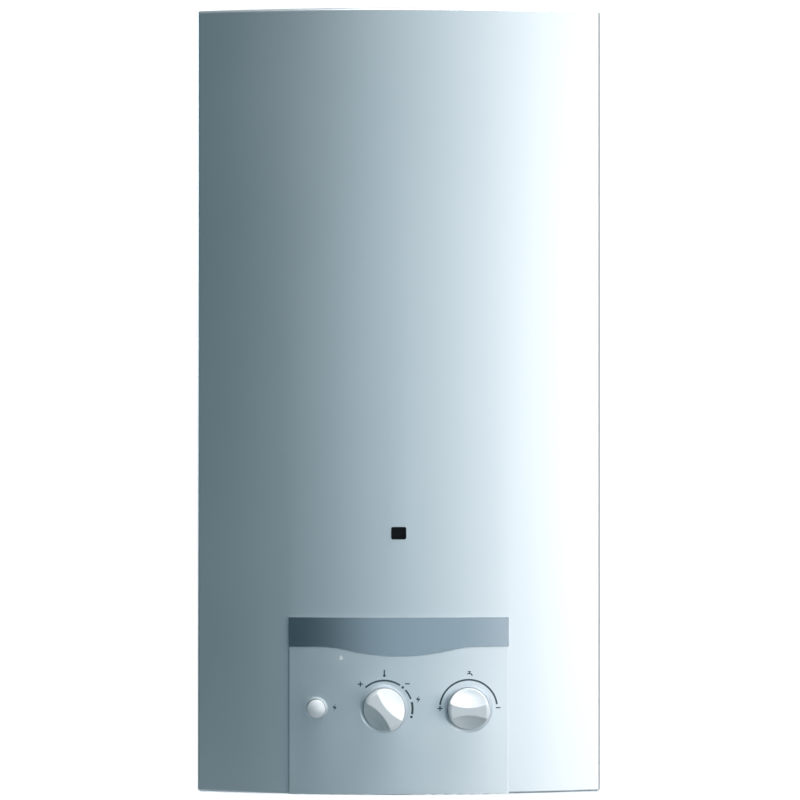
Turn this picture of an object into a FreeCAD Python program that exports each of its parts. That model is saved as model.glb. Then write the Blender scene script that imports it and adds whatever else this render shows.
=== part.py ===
import FreeCAD, Part
import math
import os

# A tankless gas water heater with an open flue, in millimetres.
# X runs to the right as seen from the front, the front faces -Y, the wall is the plane y = 0.
# Heights are written from the casing's bottom edge. The finished pieces are then lowered by
# HOOK_HEIGHT, so that the origin lies on the wall between the two hook slots.

V = FreeCAD.Vector

# Casing
CASE_WIDTH = 350.0
CASE_HEIGHT = 680.0
SIDE_DEPTH = 222.0
FRONT_BOW = 22.0
CROWN_DEPTH = SIDE_DEPTH + FRONT_BOW
CASE_SHEET = 1.0
CASE_BEND = 3.0
CASE_FLANGE = 14.0
WALL_CLEARANCE = 1.5

# Gaps that repeat all over the heater
SEAT_GAP = 0.3
RUN_GAP = 0.08
HOLE_GAP = 0.1
FIT_GAP = 0.02

# How far a cutter reaches past what it cuts
CUT_PAST = 5.0

# Screws
SCREW_RADIUS = 2.0
SCREW_HEAD_RADIUS = 3.6
SCREW_HEAD_HEIGHT = 2.0
SCREW_LENGTH = 10.0
SCREW_SLOT_WIDTH = 1.0
SCREW_SLOT_DEPTH = 0.8

# Back plate and wall fixing
BACK_SHEET = 1.2
BACK_FLANGE = 20.0
HOOK_HEIGHT = 640.0
HOOK_SPACING = 200.0
HOOK_SLOT_LENGTH = 24.0
HOOK_SLOT_WIDTH = 8.0
LOWER_HOLE_HEIGHT = 90.0
LOWER_HOLE_SPACING = 240.0
LOWER_HOLE_RADIUS = 4.0
DIMPLE_RADIUS = 4.6
DIMPLE_HEIGHT = 2.5
DIMPLE_DEPTH_PLACE = 60.0
TAB_WIDTH = 12.0
TAB_SHEET = 1.5
TAB_STAY_TOP = 16.0

# Control panel, dark strip and sight window
PANEL_WIDTH = 190.7
PANEL_HEIGHT = 154.0
PANEL_PROUD = 2.0
PANEL_FOOT = 0.6
PANEL_EDGE_RADIUS = 1.4
PANEL_LAP = 11.0
STRIP_END_HEIGHT = 25.5
STRIP_DROP = 7.8
STRIP_FLAT_END = 68.0
STRIP_INFLECTION = 46.0
STRIP_THICKNESS = 1.0
STRIP_PROUD = 0.3
STRIP_GAP = 0.4
STRIP_INSET = 0.2
CUP_WALL = 1.5
CUP_FLOOR = 2.0
CUP_ENVELOPE = 40.0
PEG_RADIUS = 2.8
PEG_SIDE = 5.2
PEG_SKIN = 0.8
PEG_HEAD_RADIUS = 4.6
PEG_HEIGHTS = (34.0, 120.0)
PEG_SCREW_RADIUS = 1.4
WINDOW_WIDTH = 12.9
WINDOW_HEIGHT = 10.6
WINDOW_LEVEL = 226.5
WINDOW_CORNER = 1.5
WINDOW_RIM = 1.0
WINDOW_PROUD = 0.4
WINDOW_CLIP = 1.0
WINDOW_LEDGE = 2.0
WINDOW_FRAME_DEPTH = 5.0
GLASS_THICKNESS = 2.0

# Controls
CONTROL_HEIGHT = 75.3
POWER_X = -12.5
TEMPERATURE_X = 60.2
IGNITER_X = -71.2
KNOB_RADIUS = 17.75
KNOB_RECESS_GAP = 0.45
KNOB_RECESS_RADIUS = KNOB_RADIUS + KNOB_RECESS_GAP
KNOB_RECESS_LIP = 2.8
RECESS_LIP_SLOPE = 0.32
KNOB_RECESS_DEPTH = 6.0
KNOB_RECESS_FLOOR = CROWN_DEPTH - KNOB_RECESS_DEPTH
KNOB_PROUD = 25.0
KNOB_FRONT = CROWN_DEPTH + KNOB_PROUD
POWER_PUSH = 5.0
KNOB_FLOOR_CLEARANCE = 0.8
KNOB_BACK = KNOB_RECESS_FLOOR + POWER_PUSH + KNOB_FLOOR_CLEARANCE
SLEEVE_DRIVE = 4.6
SOCKET_CLEARANCE = 1.0
KNOB_RIM_PROUD = 3.0
KNOB_DISC = CROWN_DEPTH + PANEL_PROUD + KNOB_RIM_PROUD - KNOB_BACK
KNOB_BAR_WAIST = 7.9
KNOB_BAR_END = 16.4
KNOB_BAR_END_ROUND = 3.0
KNOB_SCOOP_RADIUS = 17.0
KNOB_SCOOP_ROUND = 1.2
KNOB_WALL = 2.0
KNOB_TOP_WALL = 3.0
SOCKET_WALL = 2.5
KNOB_TURN_AT_REST = -41.8
BUTTON_RADIUS = 7.75
BUTTON_RECESS_GAP = 0.25
BUTTON_RECESS_RADIUS = BUTTON_RADIUS + BUTTON_RECESS_GAP
BUTTON_RECESS_LIP = 2.0
BUTTON_RECESS_DEPTH = 10.0
BUTTON_RECESS_FLOOR = CROWN_DEPTH - BUTTON_RECESS_DEPTH
BUTTON_PROUD = 5.5
BUTTON_FRONT = CROWN_DEPTH + BUTTON_PROUD
BUTTON_PUSH = 6.0
BUTTON_FLOOR_CLEARANCE = 0.2
IGNITER_NECK_PROUD = 2.0
BUTTON_BACK = BUTTON_RECESS_FLOOR + IGNITER_NECK_PROUD + BUTTON_PUSH + BUTTON_FLOOR_CLEARANCE
BUTTON_DOME = 2.4
BUTTON_STEM = 4.0
BUTTON_STEM_REACH = 12.0
BUTTON_WALL = 1.6
BUTTON_POCKET = 4.0
IGNITER_NECK = 6.0
IGNITER_RADIUS = 10.5
IGNITER_LENGTH = 42.0
IGNITER_ROUND = 1.0
IGNITER_PIN_RADIUS = 2.2
IGNITER_PIN = 5.0
IGNITER_WELL = 22.0
IGNITER_NUT = 1.5
IGNITER_NUT_CLEARANCE = 0.5
IGNITER_NUT_RADIUS = BUTTON_RECESS_RADIUS - IGNITER_NUT_CLEARANCE
IGNITER_SPRING_RADIUS = 5.0
IGNITER_SPRING_WIRE = 0.35
IGNITER_SPRING_TURNS = 5
POWER_SPRING_RADIUS = 6.0
POWER_SPRING_WIRE = 0.45
POWER_SPRING_TURNS = 4
SLEEVE_END = KNOB_BACK + SLEEVE_DRIVE
SLEEVE_FLAT_START = KNOB_BACK - POWER_PUSH - SEAT_GAP
PLUNGER_COVER = 11.0
PLUNGER_END = KNOB_FRONT - PLUNGER_COVER
SPINDLE_RADIUS = 4.0
SPINDLE_FLAT = 2.8
TEMPERATURE_SINK = FRONT_BOW * (TEMPERATURE_X ** 2 - POWER_X ** 2) / (CASE_WIDTH / 2) ** 2
SPINDLE_FLAT_START = KNOB_BACK - TEMPERATURE_SINK - SEAT_GAP
SPINDLE_DRIVE = 12.2
TEMPERATURE_SPINDLE_END = KNOB_BACK - TEMPERATURE_SINK + SPINDLE_DRIVE

# Gas valve
GAS_LEFT = POWER_X - 37.5
GAS_RIGHT = POWER_X + 32.5
GAS_FRONT = SIDE_DEPTH - 22.0
GAS_REAR = GAS_FRONT - 90.0
GAS_LOW = CONTROL_HEIGHT - 25.3
GAS_TOP = CONTROL_HEIGHT + 59.7
GAS_BORE = 14.0
SEAT_BORE = 7.0
SEAT_FRONT = GAS_FRONT - 40.0
SEAT_REAR = SEAT_FRONT - 3.0
PLUNGER_RADIUS = 2.5
SLEEVE_RADIUS = 6.0
SLEEVE_FLAT = 4.4
CAP_THICKNESS = 6.0
CAP_RIM = 8.0
CAP_SPIGOT = 5.0
SHOULDER_RADIUS = 8.0
COVER_THICKNESS = 5.0
RATE_DISC_FRONT = GAS_FRONT - 14.0
RATE_DISC_THICKNESS = 3.0
RATE_PORT_CIRCLE = 9.5
RATE_PORT_RADIUS = 2.6
COLLAR_FRONT = SEAT_FRONT + 12.0
COLLAR_RADIUS = 7.5
COLLAR_THICKNESS = 2.0
MAGNET_FACE = SEAT_REAR - 19.0
MAGNET_NOSE = 10.0
MAGNET_THREAD = 12.0
MAGNET_FLANGE = 6.0
MAGNET_RIM = 3.0
TERMINAL_RADIUS = 5.0
TERMINAL_LENGTH = 16.0
KEEPER_RADIUS = 8.0
KEEPER_THICKNESS = 3.0
KEEPER_STEM = 2.0
SEAT_LAP = 2.5
SEAT_DISC = 2.6
GAS_CORNER = 5.0
GALLERY_RADIUS = 5.0
GALLERY_SIDE = 8.0
PILOT_PORT_RADIUS = 1.0
GAS_OUTLET_RADIUS = 5.5
COVER_PLUG = 4.0
COVER_PLUG_WALL = 2.0
RIM_TO_SCREW = 3.8
CAP_SCREWS = 3
COVER_SCREWS = 4
GAS_INLET_Y = SEAT_REAR - 10.0
GAS_OUTLET_X = POWER_X + 19.0
PILOT_PORT_X = POWER_X - 7.5
PILOT_PORT_Y = GAS_FRONT - 10.0
GLAND_LENGTH = 8.0
MAIN_BORE = 11.0
MAIN_Y = GAS_FRONT - 30.0
MAIN_HEIGHT = CONTROL_HEIGHT + 39.7
MAIN_SEAT = POWER_X + 10.5
MAIN_SEAT_THICKNESS = 3.0
MAIN_LAP = 2.4
MAIN_DISC = 3.0
GUIDE_RADIUS = 3.0
GUIDE_LENGTH = 9.0
MAIN_SPRING_RADIUS = 5.0
MAIN_SPRING_WIRE = 0.5
MAIN_SPRING_TURNS = 8

# Water valve
WATER_LEFT = TEMPERATURE_X - 14.2
WATER_RIGHT = TEMPERATURE_X + 27.8
WATER_FRONT = GAS_FRONT
WATER_REAR = WATER_FRONT - 70.0
WATER_LOW = CONTROL_HEIGHT - 23.3
WATER_TOP = CONTROL_HEIGHT + 22.7
FLANGE_RADIUS = 36.0
CHAMBER_RADIUS = 27.0
NECK_RADIUS = 8.0
DIAPHRAGM_THICKNESS = 2.0
HOUSING_DEPTH = 12.0
HOUSING_WALL = 4.0
PUSHROD_STROKE = 4.0
PLATE_RADIUS = 18.0
PLATE_THICKNESS = 1.7
PLATE_CLEARANCE = 2.0
COVER_LEFT = WATER_LEFT - (DIAPHRAGM_THICKNESS + SEAT_GAP + PLATE_THICKNESS + PUSHROD_STROKE + PLATE_CLEARANCE
                           + HOUSING_WALL)
THROTTLE_FRONT = WATER_FRONT - 18.0
THROTTLE_RADIUS = 9.0
THROTTLE_LENGTH = 14.0
THROTTLE_NOTCH = 3.0
FILTER_RADIUS = 7.5
FILTER_LENGTH = 12.0
VENTURI_RADIUS = 6.5
VENTURI_LENGTH = 16.0
VENTURI_THROAT = 2.5
WATER_CORNER = 4.0
CHANNEL_RADIUS = 2.5
DRAIN_RADIUS = 4.0
DRAIN_THREAD = 8.0
DRAIN_HEAD = 6.0
DRAIN_RIM = 2.5
FILTER_WALL = 1.0
FILTER_RINGS = 3
FILTER_RING_PITCH = 3.2
FILTER_RING_RADIUS = 1.2
FLANGE_SCREWS = 6
FLANGE_SCREW_CIRCLE = 31.5
COLD_PORT_HEIGHT = CONTROL_HEIGHT - 7.3
COLD_PORT_Y = WATER_FRONT - 50.0
RISER_X = TEMPERATURE_X + 17.8
RISER_Y = WATER_FRONT - 55.0

# Pipes and connections
UNION_Y = 45.0
UNION_SPACING = 125.0
UNION_THREAD_RADIUS = 10.478
UNION_THREAD_LENGTH = 13.0
UNION_END = 3.0
UNION_HEX = 14.0
UNION_HEX_HEIGHT = 6.0
UNION_BORE = 6.0
UNION_SHOULDER = 1.4
BRACKET_SHEET = 2.0
BRACKET_END = 25.0
BRACKET_FRONT = 20.0
BRACKET_UPSTAND = 22.0
BRACKET_HOLE_RADIUS = 3.0
VALVE_BRACKET_SHEET = 1.5
VALVE_BRACKET_FOOT = 25.0
WATER_PIPE_RADIUS = 7.0
GAS_PIPE_RADIUS = 8.0
PIPE_WALL = 1.0
UNION_TOP = 30.0
GAS_RUN_HEIGHT = GAS_LOW - 10.5
GAS_BEND = 9.0
WATER_BEND = 14.0
HOT_RUN_RISE = 80.0
HOT_RUN_HEIGHT = UNION_TOP + HOT_RUN_RISE
FEED_HEIGHT = GAS_TOP + 15.0
RISER_STUB = 27.0
RISER_CROSSING = WATER_TOP + RISER_STUB

# Burner
BURNER_BARS = 14
BAR_PITCH = 16.0
BAR_WIDTH = 10.0
BAR_ABOVE_VALVE = 40.0
BAR_HEIGHT = 39.0
BAR_BEHIND_CASING = 26.0
BAR_LOW = GAS_TOP + BAR_ABOVE_VALVE
BAR_TOP = BAR_LOW + BAR_HEIGHT
BAR_FRONT = SIDE_DEPTH - BAR_BEHIND_CASING
BAR_REAR = 70.0
BAR_WALL = 0.8
BAR_ROUND = 3.0
BAR_MOUTH = 3.5
STAY_WIDTH = 12.0
ARM_WIDTH = 14.0
ARM_FOOT = 18.0
BAR_SLOTS = 10
BAR_SLOT_WIDTH = 2.0
FRAME_HALF_WIDTH = BURNER_BARS * BAR_PITCH / 2 + 4.0
FRAME_FRONT = BAR_FRONT + 4.0
FRAME_REAR = BAR_REAR - 4.0
FRAME_SHEET = 1.5
FRAME_LOW = BAR_LOW - 10.0
FRAME_TOP = BAR_TOP + 2.0
MANIFOLD_STANDOFF = 18.0
MANIFOLD_Y = FRAME_FRONT + MANIFOLD_STANDOFF
MANIFOLD_HEIGHT = BAR_LOW + 9.0
MANIFOLD_RADIUS = 8.0
MANIFOLD_WALL = 1.5
MANIFOLD_EAR = 7.0
JET_BODY = 5.0
JET_TIP = 4.0
JET_BORE = 0.8
INJECTOR_RADIUS = 4.0
LEAD_Y = FRAME_FRONT + 6.0
PILOT_X = -2 * BAR_PITCH
ELECTRODE_X = -BAR_PITCH
THERMOCOUPLE_X = -3 * BAR_PITCH
PILOT_PLATE = BAR_TOP - 13.0
PILOT_RADIUS = 4.0
PILOT_TOP = BAR_TOP + 8.0
PILOT_TUBE = 1.5
PILOT_SLOT = 6.0
CERAMIC_RADIUS = 3.0
ELECTRODE_TOP = BAR_TOP
COUPLE_RADIUS = 2.6
COUPLE_LEAD = 1.0
COUPLE_LOOP = 22.0
COUPLE_DROP = 44.0
COUPLE_BEND = 8.0
PILOT_BEND = 7.0
CABLE_LOOP = 25.0
CABLE_BEND = 9.0
COUPLE_RUN = GAS_TOP + 21.0
CABLE_RADIUS = 1.5
LEAD_TOP = PILOT_PLATE - 9.0
FRAME_ARM = BAR_TOP - 18.0

# Heat exchanger and draught hood
JACKET_HALF_WIDTH = FRAME_HALF_WIDTH + 2.0
JACKET_FRONT = FRAME_FRONT + 4.0
JACKET_REAR = FRAME_REAR - 4.0
JACKET_LOW = FRAME_TOP + 24.0
JACKET_SHEET = 1.0
JACKET_CORNER = 10.0
STAY_INSET = 28.0
STAY_HALF_WIDTH = 10.0
STAY_FOOT = 16.0
CUTOUT_RADIUS = 8.0
CUTOUT_FLANGE = 16.0
CUTOUT_HALF_HEIGHT = 7.0
CUTOUT_SHEET = 1.5
CUTOUT_DEPTH = 9.0
CUTOUT_TAB_END = 15.0
TAB_HALF_GAP = 4.0
TAB_HALF_SHEET = 0.4
TAB_HALF_HEIGHT = 3.0
TUBE_RADIUS = 8.0
TUBE_COUNT = 5
TUBE_TURN_CLEARANCE = 2.0
TUBE_EDGE = 18.0
TUBE_PITCH = (JACKET_FRONT - JACKET_REAR - 2 * TUBE_EDGE) / (TUBE_COUNT - 1)
TUBE_HEIGHT = 518.0
JACKET_TOP = TUBE_HEIGHT + 34.0
FIN_THICKNESS = 0.6
FIN_PITCH = 6.0
FIN_HEIGHT = 56.0
COIL_CLEARANCE = 0.5
COIL_DROPS = (218.0, 138.0, 68.0)
COIL_LEVELS = tuple(TUBE_HEIGHT - drop for drop in COIL_DROPS)
COIL_BEND = 12.0
TUBE_END = JACKET_HALF_WIDTH + 10.0
LIFT_X = TUBE_END + 13.0
HOT_RISER_X = TUBE_END + 20.0
SENSOR_Y = 3.0 - (JACKET_FRONT + JACKET_REAR) / 2
SENSOR_HEIGHT = TUBE_HEIGHT - 88.0
FLUE_SENSOR_X = 60.0
HOOD_HALF_WIDTH = JACKET_HALF_WIDTH + 12.0
HOOD_FRONT = JACKET_FRONT + 6.0
HOOD_REAR = JACKET_REAR - 12.0
HOOD_TOP = JACKET_TOP + 88.0
HOOD_SHEET = 1.0
HOOD_CORNER = 4.0
HOOD_RELIEF_LIFT = 8.0
HOOD_RELIEF_END = 20.0
FLUE_RIM = 10.0
FLUE_BEAD = 1.2
HOOD_RELIEF = 34.0
FLUE_RADIUS = 65.5
FLUE_TOP = HOOD_TOP + 36.0
BAFFLE_HEIGHT = JACKET_TOP + 52.0
BAFFLE_RISE = 18.0
BAFFLE_REACH = 56.0

# Values that follow from the ones above
half_width = CASE_WIDTH / 2
front_radius = (half_width ** 2 + FRONT_BOW ** 2) / (2 * FRONT_BOW)
front_centre = front_radius - SIDE_DEPTH - FRONT_BOW
panel_half = PANEL_WIDTH / 2
jacket_middle = -(JACKET_FRONT + JACKET_REAR) / 2
flue_y = jacket_middle
inner_half = half_width - CASE_SHEET - SEAT_GAP


# Basic solids and pipes

def box(x0, x1, y0, y1, z0, z1):
    return Part.makeBox(x1 - x0, y1 - y0, z1 - z0, V(x0, y0, z0))


def rod_x(radius, y, z, x0, x1):
    return Part.makeCylinder(radius, x1 - x0, V(x0, y, z), V(1, 0, 0))


def rod_y(radius, x, z, y0, y1):
    return Part.makeCylinder(radius, y1 - y0, V(x, y0, z), V(0, 1, 0))


def rod_z(radius, x, y, z0, z1):
    return Part.makeCylinder(radius, z1 - z0, V(x, y, z0), V(0, 0, 1))


def fuse(first, *others):
    return first.fuse(list(others)).removeSplitter()


def cut(first, *others):
    return first.cut(list(others))


def hexagon_z(radius, x, y, z0, z1):
    """A hexagonal prism along Z, its corners on the given radius."""
    corners = [V(x + radius * math.cos(math.radians(60 * i)), y + radius * math.sin(math.radians(60 * i)),
                 z0)
               for i in range(7)]
    return Part.Face(Part.makePolygon(corners)).extrude(V(0, 0, z1 - z0))


def turned(shape, axis, point, degrees):
    copy = shape.copy()
    copy.rotate(point, axis, degrees)
    return copy


def moved(shape, x, y, z):
    copy = shape.copy()
    copy.translate(V(x, y, z))
    return copy


def bent_path(points, bend):
    """A wire of straight runs joined by tangent arcs of one bend radius."""
    edges = []
    start = points[0]
    for i in range(1, len(points) - 1):
        corner = points[i]
        way_in = (corner - points[i - 1]).normalize()
        way_out = (points[i + 1] - corner).normalize()
        turn = way_in.getAngle(way_out)
        setback = bend * math.tan(turn / 2)
        arc_start = corner - way_in * setback
        arc_end = corner + way_out * setback
        inward = (way_out - way_in).normalize()
        middle = corner + inward * (bend / math.cos(turn / 2) - bend)
        if (arc_start - start).Length > 0.001:
            edges.append(Part.LineSegment(start, arc_start).toShape())
        edges.append(Part.Arc(arc_start, middle, arc_end).toShape())
        start = arc_end
    edges.append(Part.LineSegment(start, points[-1]).toShape())
    return Part.Wire(edges)


def swept_round(path, start, direction, radius):
    circle = Part.Wire(Part.makeCircle(radius, start, direction))
    return path.makePipeShell([circle], True, False)


def pipe(points, bend, radius, wall=0.0):
    """A bent rod, or a tube where a wall is given."""
    places = [V(*point) for point in points]
    path = bent_path(places, bend)
    direction = places[1] - places[0]
    solid = swept_round(path, places[0], direction, radius)
    if wall > 0:
        solid = solid.cut(swept_round(path, places[0], direction, radius - wall))
    return solid


def spring(start, direction, across, radius, wire, length, turns):
    """A compression spring: one unbroken wire on quarter-turn arcs, its ends inside the given length."""
    along = V(*direction)
    side = V(*across)
    other = along.cross(side)
    steps = turns * 4
    rise = length - 2 * wire

    def place(step):
        angle = step * math.pi / 2
        ring = side * (radius * math.cos(angle)) + other * (radius * math.sin(angle))
        return V(*start) + ring + along * (wire + rise * step / steps)

    edges = [Part.Arc(place(i), place(i + 0.5), place(i + 1)).toShape() for i in range(steps)]
    path = Part.Wire(edges)
    heading = edges[0].tangentAt(edges[0].FirstParameter)
    return swept_round(path, place(0), heading, wire)


def export(name, *solids):
    shape = solids[0] if len(solids) == 1 else Part.makeCompound(list(solids))
    shape = moved(shape, 0, 0, -HOOK_HEIGHT)
    for solid in shape.Solids:
        if not solid.isValid() or solid.Volume <= 0:
            raise ValueError(name + " holds a solid that is not sound")
    shape.exportStep("parts/" + name + ".step")


# Casing, back plate, control panel and sight window

def front_y(x, outward=0.0):
    """Where the bowed front surface lies at a place across the heater."""
    return front_centre - math.sqrt((front_radius + outward) ** 2 - x ** 2)


def plan_block(inset, back, low, high, bend):
    """The casing's plan shape, drawn in by an inset and raised, with its outer bends rounded."""
    side = half_width - inset
    radius = front_radius - inset
    corner = front_centre - math.sqrt(radius ** 2 - side ** 2)
    crown = front_centre - radius
    edges = [
        Part.LineSegment(V(-side, back, low), V(-side, corner, low)).toShape(),
        Part.Arc(V(-side, corner, low), V(0, crown, low), V(side, corner, low)).toShape(),
        Part.LineSegment(V(side, corner, low), V(side, back, low)).toShape(),
        Part.LineSegment(V(side, back, low), V(-side, back, low)).toShape(),
    ]
    block = Part.Face(Part.Wire(edges)).extrude(V(0, 0, high - low))
    if bend <= 0:
        return block
    uprights = []
    for edge in block.Edges:
        middle = edge.CenterOfMass
        if abs(middle.y - corner) > 1 and abs(middle.z - (low + high) / 2) < 1 and middle.y < corner + 1:
            uprights.append(edge)
        elif abs(abs(middle.x) - side) < 0.01 and abs(middle.y - corner) < 0.01:
            uprights.append(edge)
    block = block.makeFillet(bend, uprights)
    rims = []
    for edge in block.Edges:
        box_of = edge.BoundBox
        flat = box_of.ZLength < 0.01
        at_back = box_of.YLength < 0.01 and abs(box_of.YMin - back) < 0.01
        if flat and not at_back:
            rims.append(edge)
    return block.makeFillet(bend, rims)


def window_prism(grow, y0, y1):
    width = WINDOW_WIDTH + 2 * grow
    height = WINDOW_HEIGHT + 2 * grow
    block = box(-width / 2, width / 2, y0, y1, WINDOW_LEVEL - height / 2, WINDOW_LEVEL + height / 2)
    corners = [edge for edge in block.Edges if edge.BoundBox.YLength > 1]
    return block.makeFillet(WINDOW_CORNER + grow, corners)


def peg_places():
    side = panel_half - PEG_SIDE
    return [(x, z) for x in (-side, side) for z in PEG_HEIGHTS]


def front_casing():
    shell = plan_block(0, -WALL_CLEARANCE, 0, CASE_HEIGHT, CASE_BEND)
    hollow = plan_block(CASE_SHEET, CUT_PAST, CASE_SHEET, CASE_HEIGHT - CASE_SHEET, CASE_BEND - CASE_SHEET)
    opening = plan_block(CASE_FLANGE, CUT_PAST, -CUT_PAST, CASE_HEIGHT + CUT_PAST, 0)
    cut_half = panel_half - PANEL_LAP
    panel_cut = box(-cut_half, cut_half, -CROWN_DEPTH - CUT_PAST, -SIDE_DEPTH + 2 * CUT_PAST,
                    PANEL_FOOT + PANEL_LAP, PANEL_HEIGHT - PANEL_LAP)
    window_cut = window_prism(HOLE_GAP, -CROWN_DEPTH - CUT_PAST, -SIDE_DEPTH)
    casing = cut(shell, hollow, opening, panel_cut, window_cut)
    for x, z in peg_places():
        casing = cut(casing, rod_y(PEG_RADIUS + HOLE_GAP, x, z, -CROWN_DEPTH - CUT_PAST,
                                   -SIDE_DEPTH + CUT_PAST))
    for x in casing_screw_sides():
        cup = rod_z(DIMPLE_RADIUS + CASE_SHEET, x, -DIMPLE_DEPTH_PLACE, 0, DIMPLE_HEIGHT + CASE_SHEET)
        casing = fuse(casing, cup)
        casing = cut(casing, rod_z(DIMPLE_RADIUS, x, -DIMPLE_DEPTH_PLACE, -1, DIMPLE_HEIGHT),
                     rod_z(SCREW_RADIUS + HOLE_GAP, x, -DIMPLE_DEPTH_PLACE, -1, DIMPLE_HEIGHT + 5))
    export("front_casing", casing)


def casing_screw_sides():
    side = half_width - CASE_FLANGE / 2 - CASE_SHEET
    return (-side, side)


def casing_screws():
    """Two screws in pressed dimples of the bottom flange, up into tabs of the back plate's flanges."""
    screws = []
    for x in casing_screw_sides():
        low = DIMPLE_HEIGHT - SCREW_HEAD_HEIGHT
        head = rod_z(SCREW_HEAD_RADIUS, x, -DIMPLE_DEPTH_PLACE, low, DIMPLE_HEIGHT)
        slot = box(x - SCREW_HEAD_RADIUS, x + SCREW_HEAD_RADIUS, -DIMPLE_DEPTH_PLACE - SCREW_SLOT_WIDTH / 2,
                   -DIMPLE_DEPTH_PLACE + SCREW_SLOT_WIDTH / 2, -CUT_PAST, low + SCREW_SLOT_DEPTH)
        shank = rod_z(SCREW_RADIUS, x, -DIMPLE_DEPTH_PLACE, DIMPLE_HEIGHT, DIMPLE_HEIGHT + SCREW_LENGTH)
        screws.append(fuse(cut(head, slot), shank))
    return screws


def slot_y(x, z, length, width, y0, y1):
    straight = (length - width) / 2
    middle = box(x - straight, x + straight, y0, y1, z - width / 2, z + width / 2)
    return fuse(middle, rod_y(width / 2, x - straight, z, y0, y1),
                rod_y(width / 2, x + straight, z, y0, y1))


def back_plate():
    """A folded steel plate. Its side flanges lie inside the casing and carry the casing's screws."""
    low = CASE_BEND + SEAT_GAP
    high = CASE_HEIGHT - CASE_BEND - SEAT_GAP
    outer = box(-inner_half, inner_half, -BACK_FLANGE, 0, low, high)
    hollow = box(-inner_half + BACK_SHEET, inner_half - BACK_SHEET, -BACK_FLANGE - CUT_PAST, -BACK_SHEET,
                 low - CUT_PAST, high + CUT_PAST)
    plate = cut(outer, hollow)
    for x in (-HOOK_SPACING / 2, HOOK_SPACING / 2):
        plate = cut(plate, slot_y(x, HOOK_HEIGHT, HOOK_SLOT_LENGTH, HOOK_SLOT_WIDTH, -CUT_PAST, CUT_PAST))
    for x in (-LOWER_HOLE_SPACING / 2, LOWER_HOLE_SPACING / 2):
        plate = cut(plate, rod_y(LOWER_HOLE_RADIUS, x, LOWER_HOLE_HEIGHT, -CUT_PAST, CUT_PAST))
    tab_low = DIMPLE_HEIGHT + CASE_SHEET + SEAT_GAP
    for x in casing_screw_sides():
        inward = -1 if x > 0 else 1
        edge = inner_half if x > 0 else -inner_half
        front = -DIMPLE_DEPTH_PLACE - TAB_WIDTH / 2
        ends = sorted((edge, edge + inward * TAB_WIDTH))
        tab = box(ends[0], ends[1], front, -BACK_SHEET, tab_low, tab_low + TAB_SHEET)
        flange = sorted((edge, edge + inward * BACK_SHEET))
        stay = box(flange[0], flange[1], front, -BACK_SHEET, tab_low, TAB_STAY_TOP)
        plate = fuse(plate, tab, stay)
        plate = cut(plate, rod_z(SCREW_RADIUS + HOLE_GAP, x, -DIMPLE_DEPTH_PLACE, tab_low - CUT_PAST,
                                 tab_low + CUT_PAST))
    export("back_plate", plate)


def skin(outward_low, outward_high, half, low, high):
    """A piece of plate that follows the bowed front, between two distances from it."""
    def arc(outward, reach):
        radius = front_radius + outward
        y = front_centre - math.sqrt(radius ** 2 - reach ** 2)
        return y, front_centre - radius

    inner_y, inner_crown = arc(outward_low, half)
    outer_y, outer_crown = arc(outward_high, half)
    edges = [
        Part.Arc(V(-half, outer_y, low), V(0, outer_crown, low), V(half, outer_y, low)).toShape(),
        Part.LineSegment(V(half, outer_y, low), V(half, inner_y, low)).toShape(),
        Part.Arc(V(half, inner_y, low), V(0, inner_crown, low), V(-half, inner_y, low)).toShape(),
        Part.LineSegment(V(-half, inner_y, low), V(-half, outer_y, low)).toShape(),
    ]
    return Part.Face(Part.Wire(edges)).extrude(V(0, 0, high - low))


def wave_block(gap, y0, y1):
    """The strip's outline seen from the front: straight ends and a wave that hangs lowest in the middle."""
    level = PANEL_HEIGHT - STRIP_END_HEIGHT - gap
    lowest = level - STRIP_DROP
    first_run = STRIP_FLAT_END - STRIP_INFLECTION
    first_drop = STRIP_DROP * first_run / STRIP_FLAT_END
    last_drop = STRIP_DROP - first_drop
    outer_radius = (first_run ** 2 + first_drop ** 2) / (2 * first_drop)
    inner_radius = (STRIP_INFLECTION ** 2 + last_drop ** 2) / (2 * last_drop)

    def outer_arc(side):
        half_run = first_run / 2
        drop = outer_radius - math.sqrt(outer_radius ** 2 - half_run ** 2)
        return V(side * (STRIP_FLAT_END - half_run), y0, level - drop)

    side_x = panel_half + CUT_PAST
    bend = V(STRIP_INFLECTION, y0, level - first_drop)
    left_bend = V(-STRIP_INFLECTION, y0, level - first_drop)
    top = PANEL_HEIGHT + CUT_PAST
    edges = [
        Part.LineSegment(V(-side_x, y0, top), V(-side_x, y0, level)).toShape(),
        Part.LineSegment(V(-side_x, y0, level), V(-STRIP_FLAT_END, y0, level)).toShape(),
        Part.Arc(V(-STRIP_FLAT_END, y0, level), outer_arc(-1), left_bend).toShape(),
        Part.Arc(left_bend, V(0, y0, lowest), bend).toShape(),
        Part.Arc(bend, outer_arc(1), V(STRIP_FLAT_END, y0, level)).toShape(),
        Part.LineSegment(V(STRIP_FLAT_END, y0, level), V(side_x, y0, level)).toShape(),
        Part.LineSegment(V(side_x, y0, level), V(side_x, y0, top)).toShape(),
        Part.LineSegment(V(side_x, y0, top), V(-side_x, y0, top)).toShape(),
    ]
    return Part.Face(Part.Wire(edges)).extrude(V(0, y1 - y0, 0))


def front_edges(solid, outward):
    """The edges of a skin that lie on its outer face."""
    radius = front_radius + outward
    found = []
    for edge in solid.Edges:
        places = [edge.valueAt(edge.FirstParameter), edge.valueAt(edge.LastParameter)]
        if all(abs(math.hypot(p.x, p.y - front_centre) - radius) < 0.01 for p in places):
            found.append(edge)
    return found


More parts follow.
